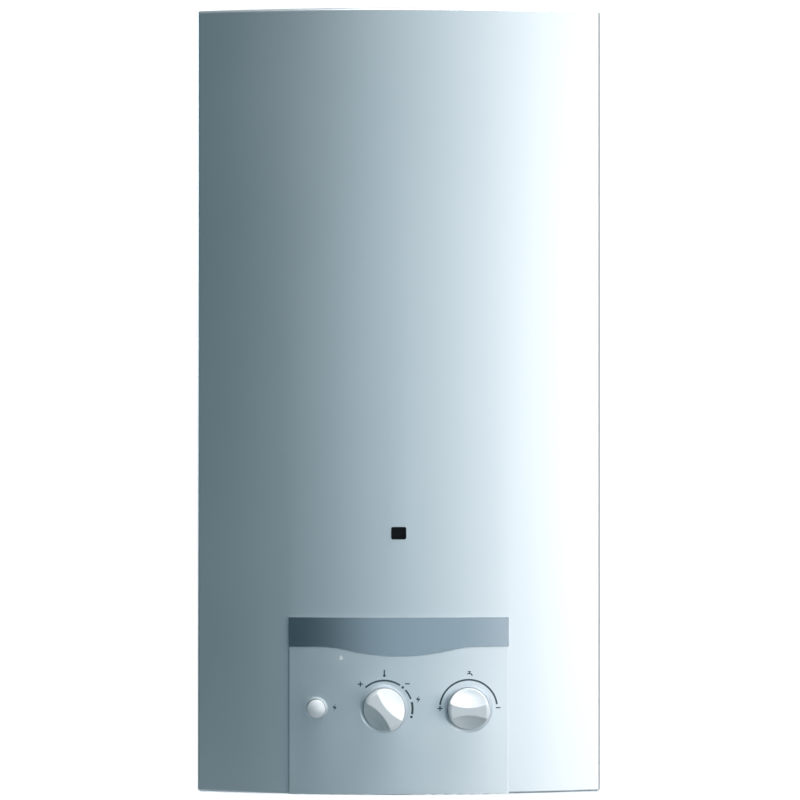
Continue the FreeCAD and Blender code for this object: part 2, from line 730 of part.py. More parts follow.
def knob_recesses():
    return [(POWER_X, KNOB_RECESS_RADIUS, KNOB_RECESS_LIP, KNOB_RECESS_FLOOR, SLEEVE_RADIUS + RUN_GAP),
            (TEMPERATURE_X, KNOB_RECESS_RADIUS, KNOB_RECESS_LIP, KNOB_RECESS_FLOOR,
             SPINDLE_RADIUS + RUN_GAP),
            (IGNITER_X, BUTTON_RECESS_RADIUS, BUTTON_RECESS_LIP, BUTTON_RECESS_FLOOR,
             IGNITER_NECK + HOLE_GAP)]


def mouth_edges(solid, x, radius):
    """The edges where a recess meets the panel's bowed front."""
    found = []
    for edge in solid.Edges:
        first, last = edge.FirstParameter, edge.LastParameter
        points = [edge.valueAt(first + (last - first) * i / 4) for i in range(5)]
        off_wall = max(abs(math.hypot(p.x - x, p.z - CONTROL_HEIGHT) - radius) for p in points)
        if off_wall < 0.01 and max(p.y for p in points) < front_y(x) + PANEL_PROUD:
            found.append(edge)
    return found


def control_panel():
    """A moulded panel that laps over the casing's cut-out, with a cup behind each control."""
    plate = skin(0, PANEL_PROUD, panel_half, PANEL_FOOT, PANEL_HEIGHT)
    plate = plate.makeFillet(PANEL_EDGE_RADIUS, front_edges(plate, PANEL_PROUD))
    envelope = skin(-CUP_ENVELOPE, PANEL_PROUD, panel_half, PANEL_FOOT, PANEL_HEIGHT)
    for x, radius, lip, floor, hole in knob_recesses():
        cup = rod_y(radius + CUP_WALL, x, CONTROL_HEIGHT, -KNOB_FRONT, -floor + CUP_FLOOR)
        plate = fuse(plate, cup.common(envelope))
    for x, radius, lip, floor, hole in knob_recesses():
        plate = cut(plate, rod_y(radius, x, CONTROL_HEIGHT, -KNOB_FRONT - CUT_PAST, -floor),
                    rod_y(hole, x, CONTROL_HEIGHT, -floor - CUT_PAST, -floor + CUP_FLOOR + CUT_PAST))
        plate = plate.makeChamfer(lip, lip * RECESS_LIP_SLOPE, mouth_edges(plate, x, radius))
    pocket = wave_block(STRIP_GAP, -KNOB_FRONT, -SIDE_DEPTH + 2 * CUT_PAST)
    ring = skin(PANEL_PROUD - STRIP_THICKNESS, PANEL_PROUD + CUT_PAST, panel_half + CUT_PAST, 0,
                CASE_HEIGHT)
    plate = cut(plate, pocket.common(ring))
    for x, z in peg_places():
        y = front_y(x)
        peg = rod_y(PEG_RADIUS, x, z, y - PANEL_PROUD / 2, screw_face(x) - HOLE_GAP)
        hole = rod_y(PEG_SCREW_RADIUS + HOLE_GAP, x, z, y - PANEL_PROUD + PEG_SKIN, y + 2 * CUT_PAST)
        plate = cut(fuse(plate, peg), hole)
    export("control_panel", plate)


def screw_face(x):
    """Where a screw's head bears on the casing's bowed inside, at a peg."""
    return front_y(abs(x) + PEG_HEAD_RADIUS, -CASE_SHEET) + HOLE_GAP


def panel_screws():
    """A screw with a wide head in each peg, which clamps the panel to the casing from inside."""
    screws = []
    for x, z in peg_places():
        face = screw_face(x)
        head = rod_y(PEG_HEAD_RADIUS, x, z, face, face + SCREW_HEAD_HEIGHT)
        slot = box(x - PEG_HEAD_RADIUS, x + PEG_HEAD_RADIUS, face + SCREW_HEAD_HEIGHT - SCREW_SLOT_DEPTH,
                   face + SCREW_HEAD_HEIGHT + CUT_PAST, z - SCREW_SLOT_WIDTH / 2, z + SCREW_SLOT_WIDTH / 2)
        shank = rod_y(PEG_SCREW_RADIUS, x, z, front_y(x) - PANEL_PROUD + PEG_SKIN + HOLE_GAP, face)
        screws.append(fuse(cut(head, slot), shank))
    return screws


def panel_strip():
    outline = wave_block(0, -KNOB_FRONT, -SIDE_DEPTH + 2 * CUT_PAST)
    ring = skin(PANEL_PROUD - STRIP_THICKNESS, PANEL_PROUD + STRIP_PROUD, panel_half - STRIP_INSET, 0,
                PANEL_HEIGHT - STRIP_INSET)
    export("panel_strip", outline.common(ring))


def sight_window():
    """A dark rim clipped in the casing's hole, and the mica pane that it holds."""
    inside = -CROWN_DEPTH + CASE_SHEET
    pane_front = inside + WINDOW_LEDGE
    frame_back = inside + WINDOW_FRAME_DEPTH
    body = window_prism(0, -CROWN_DEPTH - WINDOW_PROUD, frame_back)
    ledge = window_prism(WINDOW_RIM + WINDOW_CLIP, inside + SEAT_GAP, frame_back)
    through = window_prism(-WINDOW_RIM, -CROWN_DEPTH - CUT_PAST, frame_back + CUT_PAST)
    pane_seat = window_prism(0, pane_front, pane_front + GLASS_THICKNESS)
    export("sight_frame", cut(fuse(body, ledge), through, pane_seat))
    pane = window_prism(-HOLE_GAP, pane_front + HOLE_GAP, pane_front + GLASS_THICKNESS - HOLE_GAP)
    export("sight_glass", pane)


# Knobs, button and their spindles

def scoop(side):
    """The hollow on one side of the knob's grip: a barrel that bows towards the grip, open to the front."""
    waist = side * KNOB_BAR_WAIST / 2
    wide = side * KNOB_BAR_END / 2
    axis_x = waist + side * KNOB_SCOOP_RADIUS
    axis_y = -KNOB_BACK - KNOB_DISC - KNOB_SCOOP_RADIUS
    reach = KNOB_RADIUS

    def face_to(far_x):
        low, high = V(wide, axis_y, -reach), V(wide, axis_y, reach)
        far_low, far_high = V(far_x, axis_y, -reach), V(far_x, axis_y, reach)
        return Part.Face(Part.Wire([
            Part.Arc(low, V(waist, axis_y, 0), high).toShape(),
            Part.LineSegment(high, far_high).toShape(),
            Part.LineSegment(far_high, far_low).toShape(),
            Part.LineSegment(far_low, low).toShape(),
        ]))

    barrel = face_to(axis_x).revolve(V(axis_x, axis_y, 0), V(0, 0, 1), 360)
    front = face_to(side * 3 * KNOB_RADIUS).extrude(V(0, -KNOB_FRONT - CUT_PAST - axis_y, 0))
    return fuse(barrel, front)


def knob(x, socket_radius, socket_end, flat, turn, sink=0.0):
    """A round knob with a scoop on each side of its grip, and a socket with a flat for its spindle."""
    blank = rod_y(KNOB_RADIUS, 0, 0, -KNOB_FRONT, -KNOB_BACK)
    rim = [edge for edge in blank.Edges if edge.BoundBox.YMax < -KNOB_FRONT + 0.01]
    blank = blank.makeFillet(KNOB_BAR_END_ROUND, rim)
    scoops = [scoop(side) for side in (-1, 1)]
    body = cut(blank, *scoops)
    skin_of_blank = blank.Shells[0]
    borders = []
    for edge in body.Edges:
        middle = Part.Vertex(edge.valueAt((edge.FirstParameter + edge.LastParameter) / 2))
        on_scoop = min(hollow.distToShape(middle)[0] for hollow in scoops) < 0.001
        if on_scoop and skin_of_blank.distToShape(middle)[0] < 0.001:
            borders.append(edge)
    body = body.makeFillet(KNOB_SCOOP_ROUND, borders)
    back = -KNOB_BACK + CUT_PAST
    socket = rod_y(socket_radius + RUN_GAP, 0, 0, -socket_end, back)
    socket = cut(socket, box(-KNOB_RADIUS, KNOB_RADIUS, -socket_end - CUT_PAST, back + CUT_PAST,
                             flat + RUN_GAP, KNOB_RADIUS))
    hollow = cut(rod_y(KNOB_RADIUS - KNOB_WALL, 0, 0, -KNOB_BACK - KNOB_DISC + KNOB_TOP_WALL, back),
                 rod_y(socket_radius + SOCKET_WALL, 0, 0, -KNOB_BACK - KNOB_DISC, back + CUT_PAST))
    body = cut(body, socket, hollow)
    body = turned(body, V(0, 1, 0), V(0, 0, 0), turn)
    return moved(body, x, sink, CONTROL_HEIGHT)


def flatted_rod(x, radius, flat, y0, y1, turn):
    """A spindle's end with a flat that drives the knob."""
    end = cut(rod_y(radius, 0, 0, y0, y1), box(-radius, radius, y0 - CUT_PAST, y1 + CUT_PAST, flat,
                                               2 * radius))
    end = turned(end, V(0, 1, 0), V(0, 0, 0), turn)
    return moved(end, x, 0, CONTROL_HEIGHT)


def power_controls():
    """The gas knob turns the rate sleeve, and its plunger slides through the sleeve when it is pushed."""
    socket_end = SLEEVE_END + POWER_PUSH + SOCKET_CLEARANCE
    body = knob(POWER_X, SLEEVE_RADIUS, socket_end, SLEEVE_FLAT, KNOB_TURN_AT_REST)
    body = cut(body, rod_y(PLUNGER_RADIUS, POWER_X, CONTROL_HEIGHT, -PLUNGER_END, -socket_end + 1))
    export("power_knob", body)
    plunger = rod_y(PLUNGER_RADIUS, POWER_X, CONTROL_HEIGHT, -PLUNGER_END, -SEAT_REAR)
    collar = rod_y(COLLAR_RADIUS, POWER_X, CONTROL_HEIGHT, -COLLAR_FRONT, -COLLAR_FRONT + COLLAR_THICKNESS)
    export("power_plunger", fuse(plunger, collar))
    sleeve = rod_y(SLEEVE_RADIUS, POWER_X, CONTROL_HEIGHT, -SLEEVE_FLAT_START, -RATE_DISC_FRONT)
    drive = flatted_rod(POWER_X, SLEEVE_RADIUS, SLEEVE_FLAT, -SLEEVE_END, -SLEEVE_FLAT_START,
                        KNOB_TURN_AT_REST)
    disc = rod_y(GAS_BORE - 2 * RUN_GAP, POWER_X, CONTROL_HEIGHT, -RATE_DISC_FRONT,
                 -RATE_DISC_FRONT + RATE_DISC_THICKNESS)
    shoulder = rod_y(SHOULDER_RADIUS, POWER_X, CONTROL_HEIGHT, -GAS_FRONT + CAP_SPIGOT + SEAT_GAP,
                     -RATE_DISC_FRONT + 1)
    sleeve = fuse(sleeve, drive, disc, shoulder)
    sleeve = cut(sleeve, rod_y(PLUNGER_RADIUS + RUN_GAP, POWER_X, CONTROL_HEIGHT, -SLEEVE_END - 1,
                               -SEAT_FRONT))
    for angle in range(0, 150, 30):
        port_x = POWER_X + RATE_PORT_CIRCLE * math.sin(math.radians(angle + KNOB_TURN_AT_REST))
        port_z = CONTROL_HEIGHT + RATE_PORT_CIRCLE * math.cos(math.radians(angle + KNOB_TURN_AT_REST))
        size = RATE_PORT_RADIUS * (1 - angle / 300)
        sleeve = cut(sleeve, rod_y(size, port_x, port_z, -RATE_DISC_FRONT - 0.5, -RATE_DISC_FRONT + 10))
    export("rate_sleeve", sleeve)
    start = -SEAT_FRONT - SEAT_GAP
    length = COLLAR_FRONT - COLLAR_THICKNESS - SEAT_FRONT - 2 * SEAT_GAP
    export("power_spring", spring((POWER_X, start, CONTROL_HEIGHT), (0, -1, 0), (1, 0, 0),
                                  POWER_SPRING_RADIUS, POWER_SPRING_WIRE, length, POWER_SPRING_TURNS))


def temperature_controls():
    socket_end = TEMPERATURE_SPINDLE_END + TEMPERATURE_SINK + 0.5
    export("temperature_knob", knob(TEMPERATURE_X, SPINDLE_RADIUS, socket_end, SPINDLE_FLAT, 90.0,
                                    TEMPERATURE_SINK))
    shaft = rod_y(SPINDLE_RADIUS, TEMPERATURE_X, CONTROL_HEIGHT, -SPINDLE_FLAT_START, -THROTTLE_FRONT)
    end = flatted_rod(TEMPERATURE_X, SPINDLE_RADIUS, SPINDLE_FLAT, -TEMPERATURE_SPINDLE_END,
                      -SPINDLE_FLAT_START, 90.0)
    plug = rod_y(THROTTLE_RADIUS - 2 * RUN_GAP, TEMPERATURE_X, CONTROL_HEIGHT, -THROTTLE_FRONT,
                 -THROTTLE_FRONT + THROTTLE_LENGTH)
    notch = rod_x(THROTTLE_NOTCH, -THROTTLE_FRONT + THROTTLE_LENGTH / 2, CONTROL_HEIGHT,
                  TEMPERATURE_X - 2 * THROTTLE_RADIUS, TEMPERATURE_X + 2 * THROTTLE_RADIUS)
    export("temperature_spindle", cut(fuse(shaft, end, plug), notch))


def button():
    """A domed cap and its stem, turned about the button's axis."""
    front, back = -BUTTON_FRONT, -BUTTON_BACK
    dome_radius = (BUTTON_RADIUS ** 2 + BUTTON_DOME ** 2) / (2 * BUTTON_DOME)
    half = BUTTON_RADIUS / 2
    dome_middle = front + dome_radius - math.sqrt(dome_radius ** 2 - half ** 2)
    rim = front + BUTTON_DOME
    pocket = BUTTON_RADIUS - BUTTON_WALL
    stem_end = -BUTTON_RECESS_FLOOR + BUTTON_STEM_REACH
    corners = [(BUTTON_RADIUS, rim), (BUTTON_RADIUS, back), (pocket, back), (pocket, back - BUTTON_POCKET),
               (BUTTON_STEM, back - BUTTON_POCKET), (BUTTON_STEM, stem_end), (0, stem_end), (0, front)]
    places = [V(r, y, 0) for r, y in corners]
    edges = [Part.LineSegment(a, b).toShape() for a, b in zip(places, places[1:])]
    edges.append(Part.Arc(places[-1], V(half, dome_middle, 0), places[0]).toShape())
    solid = Part.Face(Part.Wire(edges)).revolve(V(0, 0, 0), V(0, 1, 0), 360)
    return moved(solid, IGNITER_X, 0, CONTROL_HEIGHT)


def igniter():
    """The piezo igniter stands behind the panel, its neck through the cup's floor."""
    back = -BUTTON_RECESS_FLOOR + CUP_FLOOR + HOLE_GAP
    body = rod_y(IGNITER_RADIUS, IGNITER_X, CONTROL_HEIGHT, back, back + IGNITER_LENGTH)
    rims = [edge for edge in body.Edges if edge.BoundBox.YLength < 0.01]
    body = body.makeFillet(IGNITER_ROUND, rims)
    neck_end = -BUTTON_RECESS_FLOOR - IGNITER_NECK_PROUD
    neck = rod_y(IGNITER_NECK, IGNITER_X, CONTROL_HEIGHT, neck_end, back + 2)
    terminal = rod_y(IGNITER_PIN_RADIUS, IGNITER_X, CONTROL_HEIGHT, back + IGNITER_LENGTH - 1,
                     back + IGNITER_LENGTH + IGNITER_PIN)
    well = rod_y(BUTTON_STEM + RUN_GAP, IGNITER_X, CONTROL_HEIGHT, neck_end - CUT_PAST, back + IGNITER_WELL)
    body = fuse(body, neck, terminal)
    export("igniter_body", cut(body, well))
    nut_back = -BUTTON_RECESS_FLOOR - HOLE_GAP
    nut = cut(rod_y(IGNITER_NUT_RADIUS, IGNITER_X, CONTROL_HEIGHT, nut_back - IGNITER_NUT, nut_back),
              rod_y(IGNITER_NECK + HOLE_GAP, IGNITER_X, CONTROL_HEIGHT, nut_back - CUT_PAST,
                    nut_back + CUT_PAST))
    export("igniter_nut", nut)
    export("igniter_button", button())
    start = neck_end - SEAT_GAP
    length = BUTTON_BACK + BUTTON_POCKET + neck_end - 2 * SEAT_GAP
    export("igniter_spring", spring((IGNITER_X, start, CONTROL_HEIGHT), (0, -1, 0), (1, 0, 0),
                                    IGNITER_SPRING_RADIUS, IGNITER_SPRING_WIRE, length,
                                    IGNITER_SPRING_TURNS))


# Gas valve

def gas_valve():
    """The cast block: the safety and rate chambers lie along Y, the main valve above them along X."""
    block = box(GAS_LEFT, GAS_RIGHT, -GAS_FRONT, -GAS_REAR, GAS_LOW, GAS_TOP)
    corners = [edge for edge in block.Edges if edge.BoundBox.ZLength > 10]
    block = block.makeFillet(GAS_CORNER, corners)
    x, z = POWER_X, CONTROL_HEIGHT
    seat_end = MAIN_SEAT + MAIN_SEAT_THICKNESS
    block = cut(
        block,
        rod_y(GAS_BORE, x, z, -GAS_FRONT - 1, -SEAT_FRONT),
        rod_y(SEAT_BORE, x, z, -SEAT_FRONT - 1, -SEAT_REAR + 1),
        rod_y(GAS_BORE, x, z, -SEAT_REAR, -GAS_REAR + 1),
        rod_x(MAIN_BORE, -MAIN_Y, MAIN_HEIGHT, GAS_LEFT - 1, MAIN_SEAT),
        rod_x(SEAT_BORE, -MAIN_Y, MAIN_HEIGHT, MAIN_SEAT - 1, seat_end + 1),
        rod_x(MAIN_BORE, -MAIN_Y, MAIN_HEIGHT, seat_end, GAS_RIGHT - GLAND_LENGTH),
        rod_x(PLUNGER_RADIUS + RUN_GAP, -MAIN_Y, MAIN_HEIGHT, 0, GAS_RIGHT + 1),
        rod_z(GALLERY_RADIUS, x - GALLERY_SIDE, -MAIN_Y, z, MAIN_HEIGHT),
        rod_z(GAS_PIPE_RADIUS - PIPE_WALL, x, -GAS_INLET_Y, GAS_LOW - 1, z),
        rod_z(GAS_OUTLET_RADIUS, GAS_OUTLET_X, -MAIN_Y, MAIN_HEIGHT, GAS_TOP + 1),
        rod_z(PILOT_PORT_RADIUS, PILOT_PORT_X, -PILOT_PORT_Y, z, GAS_TOP + 1),
    )
    for px, pz in cap_screw_places():
        block = cut(block, rod_y(SCREW_RADIUS + HOLE_GAP, px, pz, -GAS_FRONT - 1,
                                 -GAS_FRONT + SCREW_LENGTH + 1))
    for py, pz in cover_screw_places():
        block = cut(block, rod_x(SCREW_RADIUS + HOLE_GAP, py, pz, GAS_LEFT - 1,
                                 GAS_LEFT + SCREW_LENGTH + 1))
    export("gas_valve_body", block)

    cap = rod_y(GAS_BORE + CAP_RIM, x, z, -GAS_FRONT - CAP_THICKNESS, -GAS_FRONT)
    spigot = rod_y(GAS_BORE - RUN_GAP, x, z, -GAS_FRONT - 1, -GAS_FRONT + CAP_SPIGOT)
    bore = rod_y(SLEEVE_RADIUS + RUN_GAP, x, z, -GAS_FRONT - CAP_THICKNESS - CUT_PAST, -SEAT_FRONT)
    cap = cut(fuse(cap, spigot), bore)
    for px, pz in cap_screw_places():
        cap = cut(cap, rod_y(SCREW_RADIUS + HOLE_GAP, px, pz, -GAS_FRONT - CAP_THICKNESS - CUT_PAST,
                             -GAS_FRONT + 1))
    export("selector_cap", cap)

    cover = rod_x(MAIN_BORE + CAP_RIM, -MAIN_Y, MAIN_HEIGHT, GAS_LEFT - COVER_THICKNESS, GAS_LEFT)
    plug = cut(rod_x(MAIN_BORE - RUN_GAP, -MAIN_Y, MAIN_HEIGHT, GAS_LEFT - 1, GAS_LEFT + COVER_PLUG),
               rod_x(MAIN_BORE - COVER_PLUG_WALL, -MAIN_Y, MAIN_HEIGHT, GAS_LEFT, GAS_LEFT + CUT_PAST))
    cover = fuse(cover, plug)
    for py, pz in cover_screw_places():
        cover = cut(cover, rod_x(SCREW_RADIUS + HOLE_GAP, py, pz, GAS_LEFT - COVER_THICKNESS - CUT_PAST,
                                 GAS_LEFT + 1))
    export("gas_valve_cover", cover)


def ring_places(a, b, radius, count, first):
    angles = [math.radians(first + 360.0 * i / count) for i in range(count)]
    return [(a + radius * math.cos(angle), b + radius * math.sin(angle)) for angle in angles]


def cap_screw_places():
    return ring_places(POWER_X, CONTROL_HEIGHT, GAS_BORE + CAP_RIM - RIM_TO_SCREW, CAP_SCREWS, 90)


def cover_screw_places():
    return ring_places(-MAIN_Y, MAIN_HEIGHT, MAIN_BORE + CAP_RIM - RIM_TO_SCREW, COVER_SCREWS, 45)


def valve_screws():
    screws = [screw_y(x, z, -GAS_FRONT - CAP_THICKNESS) for x, z in cap_screw_places()]
    screws += [screw_x(y, z, GAS_LEFT - COVER_THICKNESS, SCREW_LENGTH) for y, z in cover_screw_places()]
    flange_length = WATER_LEFT - COVER_LEFT + SCREW_LENGTH - 2
    screws += [screw_x(y, z, COVER_LEFT, flange_length) for y, z in flange_screw_places()]
    export("valve_screws", *screws)


def screw_y(x, z, face):
    """A screw whose head lies in front of a face and whose shank runs in along +Y."""
    head = rod_y(SCREW_HEAD_RADIUS, x, z, face - SCREW_HEAD_HEIGHT, face)
    slot = box(x - SCREW_HEAD_RADIUS, x + SCREW_HEAD_RADIUS, face - SCREW_HEAD_HEIGHT - CUT_PAST,
               face - SCREW_HEAD_HEIGHT + SCREW_SLOT_DEPTH, z - SCREW_SLOT_WIDTH / 2,
               z + SCREW_SLOT_WIDTH / 2)
    return fuse(cut(head, slot), rod_y(SCREW_RADIUS, x, z, face, face + SCREW_LENGTH))


def screw_x(y, z, face, length):
    """A screw whose head lies left of a face and whose shank runs in along +X."""
    head = rod_x(SCREW_HEAD_RADIUS, y, z, face - SCREW_HEAD_HEIGHT, face)
    slot = box(face - SCREW_HEAD_HEIGHT - CUT_PAST, face - SCREW_HEAD_HEIGHT + SCREW_SLOT_DEPTH,
               y - SCREW_HEAD_RADIUS, y + SCREW_HEAD_RADIUS, z - SCREW_SLOT_WIDTH / 2,
               z + SCREW_SLOT_WIDTH / 2)
    return fuse(cut(head, slot), rod_x(SCREW_RADIUS, y, z, face, face + length))


def safety_device():
    x, z = POWER_X, CONTROL_HEIGHT
    nose = rod_y(MAGNET_NOSE, x, z, -MAGNET_FACE, -GAS_REAR - MAGNET_THREAD + 2)
    thread = rod_y(GAS_BORE - RUN_GAP, x, z, -GAS_REAR - MAGNET_THREAD, -GAS_REAR)
    flange = rod_y(GAS_BORE + MAGNET_RIM, x, z, -GAS_REAR, -GAS_REAR + MAGNET_FLANGE)
    terminal = rod_y(TERMINAL_RADIUS, x, z, -GAS_REAR + MAGNET_FLANGE - 1, -GAS_REAR + TERMINAL_LENGTH)
    export("safety_magnet", fuse(nose, thread, flange, terminal))
    keeper_rear = -MAGNET_FACE - POWER_PUSH - SEAT_GAP
    keeper = rod_y(KEEPER_RADIUS, x, z, keeper_rear - KEEPER_THICKNESS, keeper_rear)
    front = -SEAT_REAR + SEAT_GAP
    disc = rod_y(SEAT_BORE + SEAT_LAP, x, z, front, front + SEAT_DISC)
    stem = rod_y(KEEPER_STEM, x, z, front + 1, keeper_rear - 1)
    export("safety_armature", fuse(keeper, disc, stem))


def main_valve():
    face = MAIN_SEAT - SEAT_GAP
    disc = rod_x(SEAT_BORE + MAIN_LAP, -MAIN_Y, MAIN_HEIGHT, face - MAIN_DISC, face)
    guide = rod_x(GUIDE_RADIUS, -MAIN_Y, MAIN_HEIGHT, face - MAIN_DISC - GUIDE_LENGTH, face - 2)
    export("gas_valve_disc", fuse(disc, guide))
    start = GAS_LEFT + SEAT_GAP
    length = face - MAIN_DISC - SEAT_GAP - start
    export("gas_valve_spring", spring((start, -MAIN_Y, MAIN_HEIGHT), (1, 0, 0), (0, 1, 0),
                                      MAIN_SPRING_RADIUS, MAIN_SPRING_WIRE, length, MAIN_SPRING_TURNS))


# Water valve

def flange_screw_places():
    return ring_places(-MAIN_Y, MAIN_HEIGHT, FLANGE_SCREW_CIRCLE, FLANGE_SCREWS, 30)


def water_valve():
    """A brass body with the throttle and ports below, and one half of the diaphragm housing above."""
    x, z = TEMPERATURE_X, CONTROL_HEIGHT
    block = box(WATER_LEFT, WATER_RIGHT, -WATER_FRONT, -WATER_REAR, WATER_LOW, WATER_TOP)
    corners = [edge for edge in block.Edges if edge.BoundBox.ZLength > 10]
    block = block.makeFillet(WATER_CORNER, corners)
    flange = rod_x(FLANGE_RADIUS, -MAIN_Y, MAIN_HEIGHT, WATER_LEFT, WATER_LEFT + HOUSING_DEPTH)
    body = fuse(block, flange)
    body = cut(
        body,
        rod_x(CHAMBER_RADIUS, -MAIN_Y, MAIN_HEIGHT, WATER_LEFT - 1,
              WATER_LEFT + HOUSING_DEPTH - HOUSING_WALL),
        rod_y(SPINDLE_RADIUS + RUN_GAP, x, z, -WATER_FRONT - 1, -THROTTLE_FRONT),
        rod_y(THROTTLE_RADIUS, x, z, -THROTTLE_FRONT, -WATER_REAR - 6),
        rod_x(FILTER_RADIUS + HOLE_GAP, -COLD_PORT_Y, COLD_PORT_HEIGHT, x, WATER_RIGHT + 1),
        rod_z(VENTURI_RADIUS + HOLE_GAP, RISER_X, -RISER_Y, z + 5, WATER_TOP + 1),
        rod_x(CHANNEL_RADIUS, -RISER_Y, z + 6, x, RISER_X),
        rod_z(DRAIN_RADIUS + HOLE_GAP, x, -COLD_PORT_Y, WATER_LOW - 1, z - 2),
    )
    for y, level in flange_screw_places():
        body = cut(body, rod_x(SCREW_RADIUS + HOLE_GAP, y, level, WATER_LEFT - 1,
                               WATER_LEFT + SCREW_LENGTH))
    export("water_valve_body", body)

    cover = rod_x(FLANGE_RADIUS, -MAIN_Y, MAIN_HEIGHT, COVER_LEFT, WATER_LEFT - DIAPHRAGM_THICKNESS)
    rim = [edge for edge in cover.Edges if edge.BoundBox.XMax < COVER_LEFT + 0.01]
    cover = cover.makeFillet(2.0, rim)
    cover = fuse(cover, rod_x(NECK_RADIUS, -MAIN_Y, MAIN_HEIGHT, GAS_RIGHT, COVER_LEFT + 1))
    cover = cut(cover,
                rod_x(CHAMBER_RADIUS, -MAIN_Y, MAIN_HEIGHT, COVER_LEFT + HOUSING_WALL, WATER_LEFT),
                rod_x(PLUNGER_RADIUS + RUN_GAP, -MAIN_Y, MAIN_HEIGHT, GAS_RIGHT - 1, WATER_LEFT))
    sheet = rod_x(FLANGE_RADIUS, -MAIN_Y, MAIN_HEIGHT, WATER_LEFT - DIAPHRAGM_THICKNESS, WATER_LEFT)
    for y, level in flange_screw_places():
        hole = rod_x(SCREW_RADIUS + HOLE_GAP, y, level, COVER_LEFT - 1, WATER_LEFT + 1)
        cover = cut(cover, hole)
        sheet = cut(sheet, hole)
    export("water_valve_cover", cover)
    export("diaphragm", sheet)

    plate_left = WATER_LEFT - DIAPHRAGM_THICKNESS - SEAT_GAP - PLATE_THICKNESS
    plate = rod_x(PLATE_RADIUS, -MAIN_Y, MAIN_HEIGHT, plate_left, plate_left + PLATE_THICKNESS)
    rod = rod_x(PLUNGER_RADIUS, -MAIN_Y, MAIN_HEIGHT, MAIN_SEAT, plate_left + 1)
    export("pushrod", fuse(plate, rod))


def water_inserts():
    tube = rod_z(VENTURI_RADIUS, RISER_X, -RISER_Y, WATER_TOP - VENTURI_LENGTH, WATER_TOP - 1)
    throat = WATER_TOP - VENTURI_LENGTH / 2
    lower = Part.makeCone(VENTURI_RADIUS - 1, VENTURI_THROAT, VENTURI_LENGTH / 2,
                          V(RISER_X, -RISER_Y, WATER_TOP - VENTURI_LENGTH), V(0, 0, 1))
    upper = Part.makeCone(VENTURI_THROAT, VENTURI_RADIUS - 1, VENTURI_LENGTH / 2,
                          V(RISER_X, -RISER_Y, throat), V(0, 0, 1))
    export("venturi_insert", cut(tube, lower, upper))
    filter_end = WATER_RIGHT - 2
    filter_start = filter_end - FILTER_LENGTH
    mesh = cut(rod_x(FILTER_RADIUS, -COLD_PORT_Y, COLD_PORT_HEIGHT, filter_start, filter_end),
               rod_x(FILTER_RADIUS - FILTER_WALL, -COLD_PORT_Y, COLD_PORT_HEIGHT,
                     filter_start + FILTER_WALL,
                     filter_end + CUT_PAST))
    for i in range(FILTER_RINGS):
        ring_x = filter_end - 3.0 - FILTER_RING_PITCH * i
        mesh = cut(mesh, rod_y(FILTER_RING_RADIUS, ring_x, COLD_PORT_HEIGHT,
                               -COLD_PORT_Y - 2 * FILTER_RADIUS, -COLD_PORT_Y + 2 * FILTER_RADIUS))
    export("water_filter", mesh)
    plug = rod_z(DRAIN_RADIUS, TEMPERATURE_X, -COLD_PORT_Y, WATER_LOW, WATER_LOW + DRAIN_THREAD)
    head = hexagon_z(DRAIN_RADIUS + DRAIN_RIM, TEMPERATURE_X, -COLD_PORT_Y, WATER_LOW - DRAIN_HEAD,
                     WATER_LOW)
    export("drain_plug", fuse(plug, head))


# Connections and pipes

def connections():
    return [("hot_outlet", -UNION_SPACING), ("gas_inlet", POWER_X), ("cold_inlet", UNION_SPACING)]


def unions():
    """Threaded ends for the house's pipes. A neck passes up through the bracket and a nut holds it."""
    sheet_low = UNION_END + UNION_THREAD_LENGTH + UNION_HEX_HEIGHT
    sheet_top = sheet_low + BRACKET_SHEET
    neck = UNION_THREAD_RADIUS - UNION_SHOULDER
    nuts = []
    half = UNION_SPACING + BRACKET_END
    sheet = box(-half, half, -UNION_Y - BRACKET_FRONT, -BACK_SHEET, sheet_low, sheet_top)
    upstand = box(-half, half, -BACK_SHEET - BRACKET_SHEET, -BACK_SHEET, sheet_low,
                  sheet_top + BRACKET_UPSTAND)
    bracket = fuse(sheet, upstand)
    for name, x in connections():
        thread = rod_z(UNION_THREAD_RADIUS, x, -UNION_Y, UNION_END, UNION_END + UNION_THREAD_LENGTH)
        hexagon = hexagon_z(UNION_HEX, x, -UNION_Y, UNION_END + UNION_THREAD_LENGTH, sheet_low)
        collar = rod_z(neck, x, -UNION_Y, sheet_low, UNION_TOP)
        body = cut(fuse(thread, hexagon, collar), rod_z(UNION_BORE, x, -UNION_Y, 0, UNION_TOP + 1))
        export(name, body)
        nut = hexagon_z(UNION_HEX, x, -UNION_Y, sheet_top, UNION_TOP - 0.5)
        hole = rod_z(neck + HOLE_GAP, x, -UNION_Y, sheet_low - 1, UNION_TOP + 1)
        nuts.append(cut(nut, hole))
        bracket = cut(bracket, hole)
    export("union_nuts", *nuts)
    for x in (-LOWER_HOLE_SPACING / 4, LOWER_HOLE_SPACING / 4):
        bracket = cut(bracket, rod_y(BRACKET_HOLE_RADIUS, x, sheet_top + 14, -UNION_Y, 0))
    export("connection_bracket", bracket)


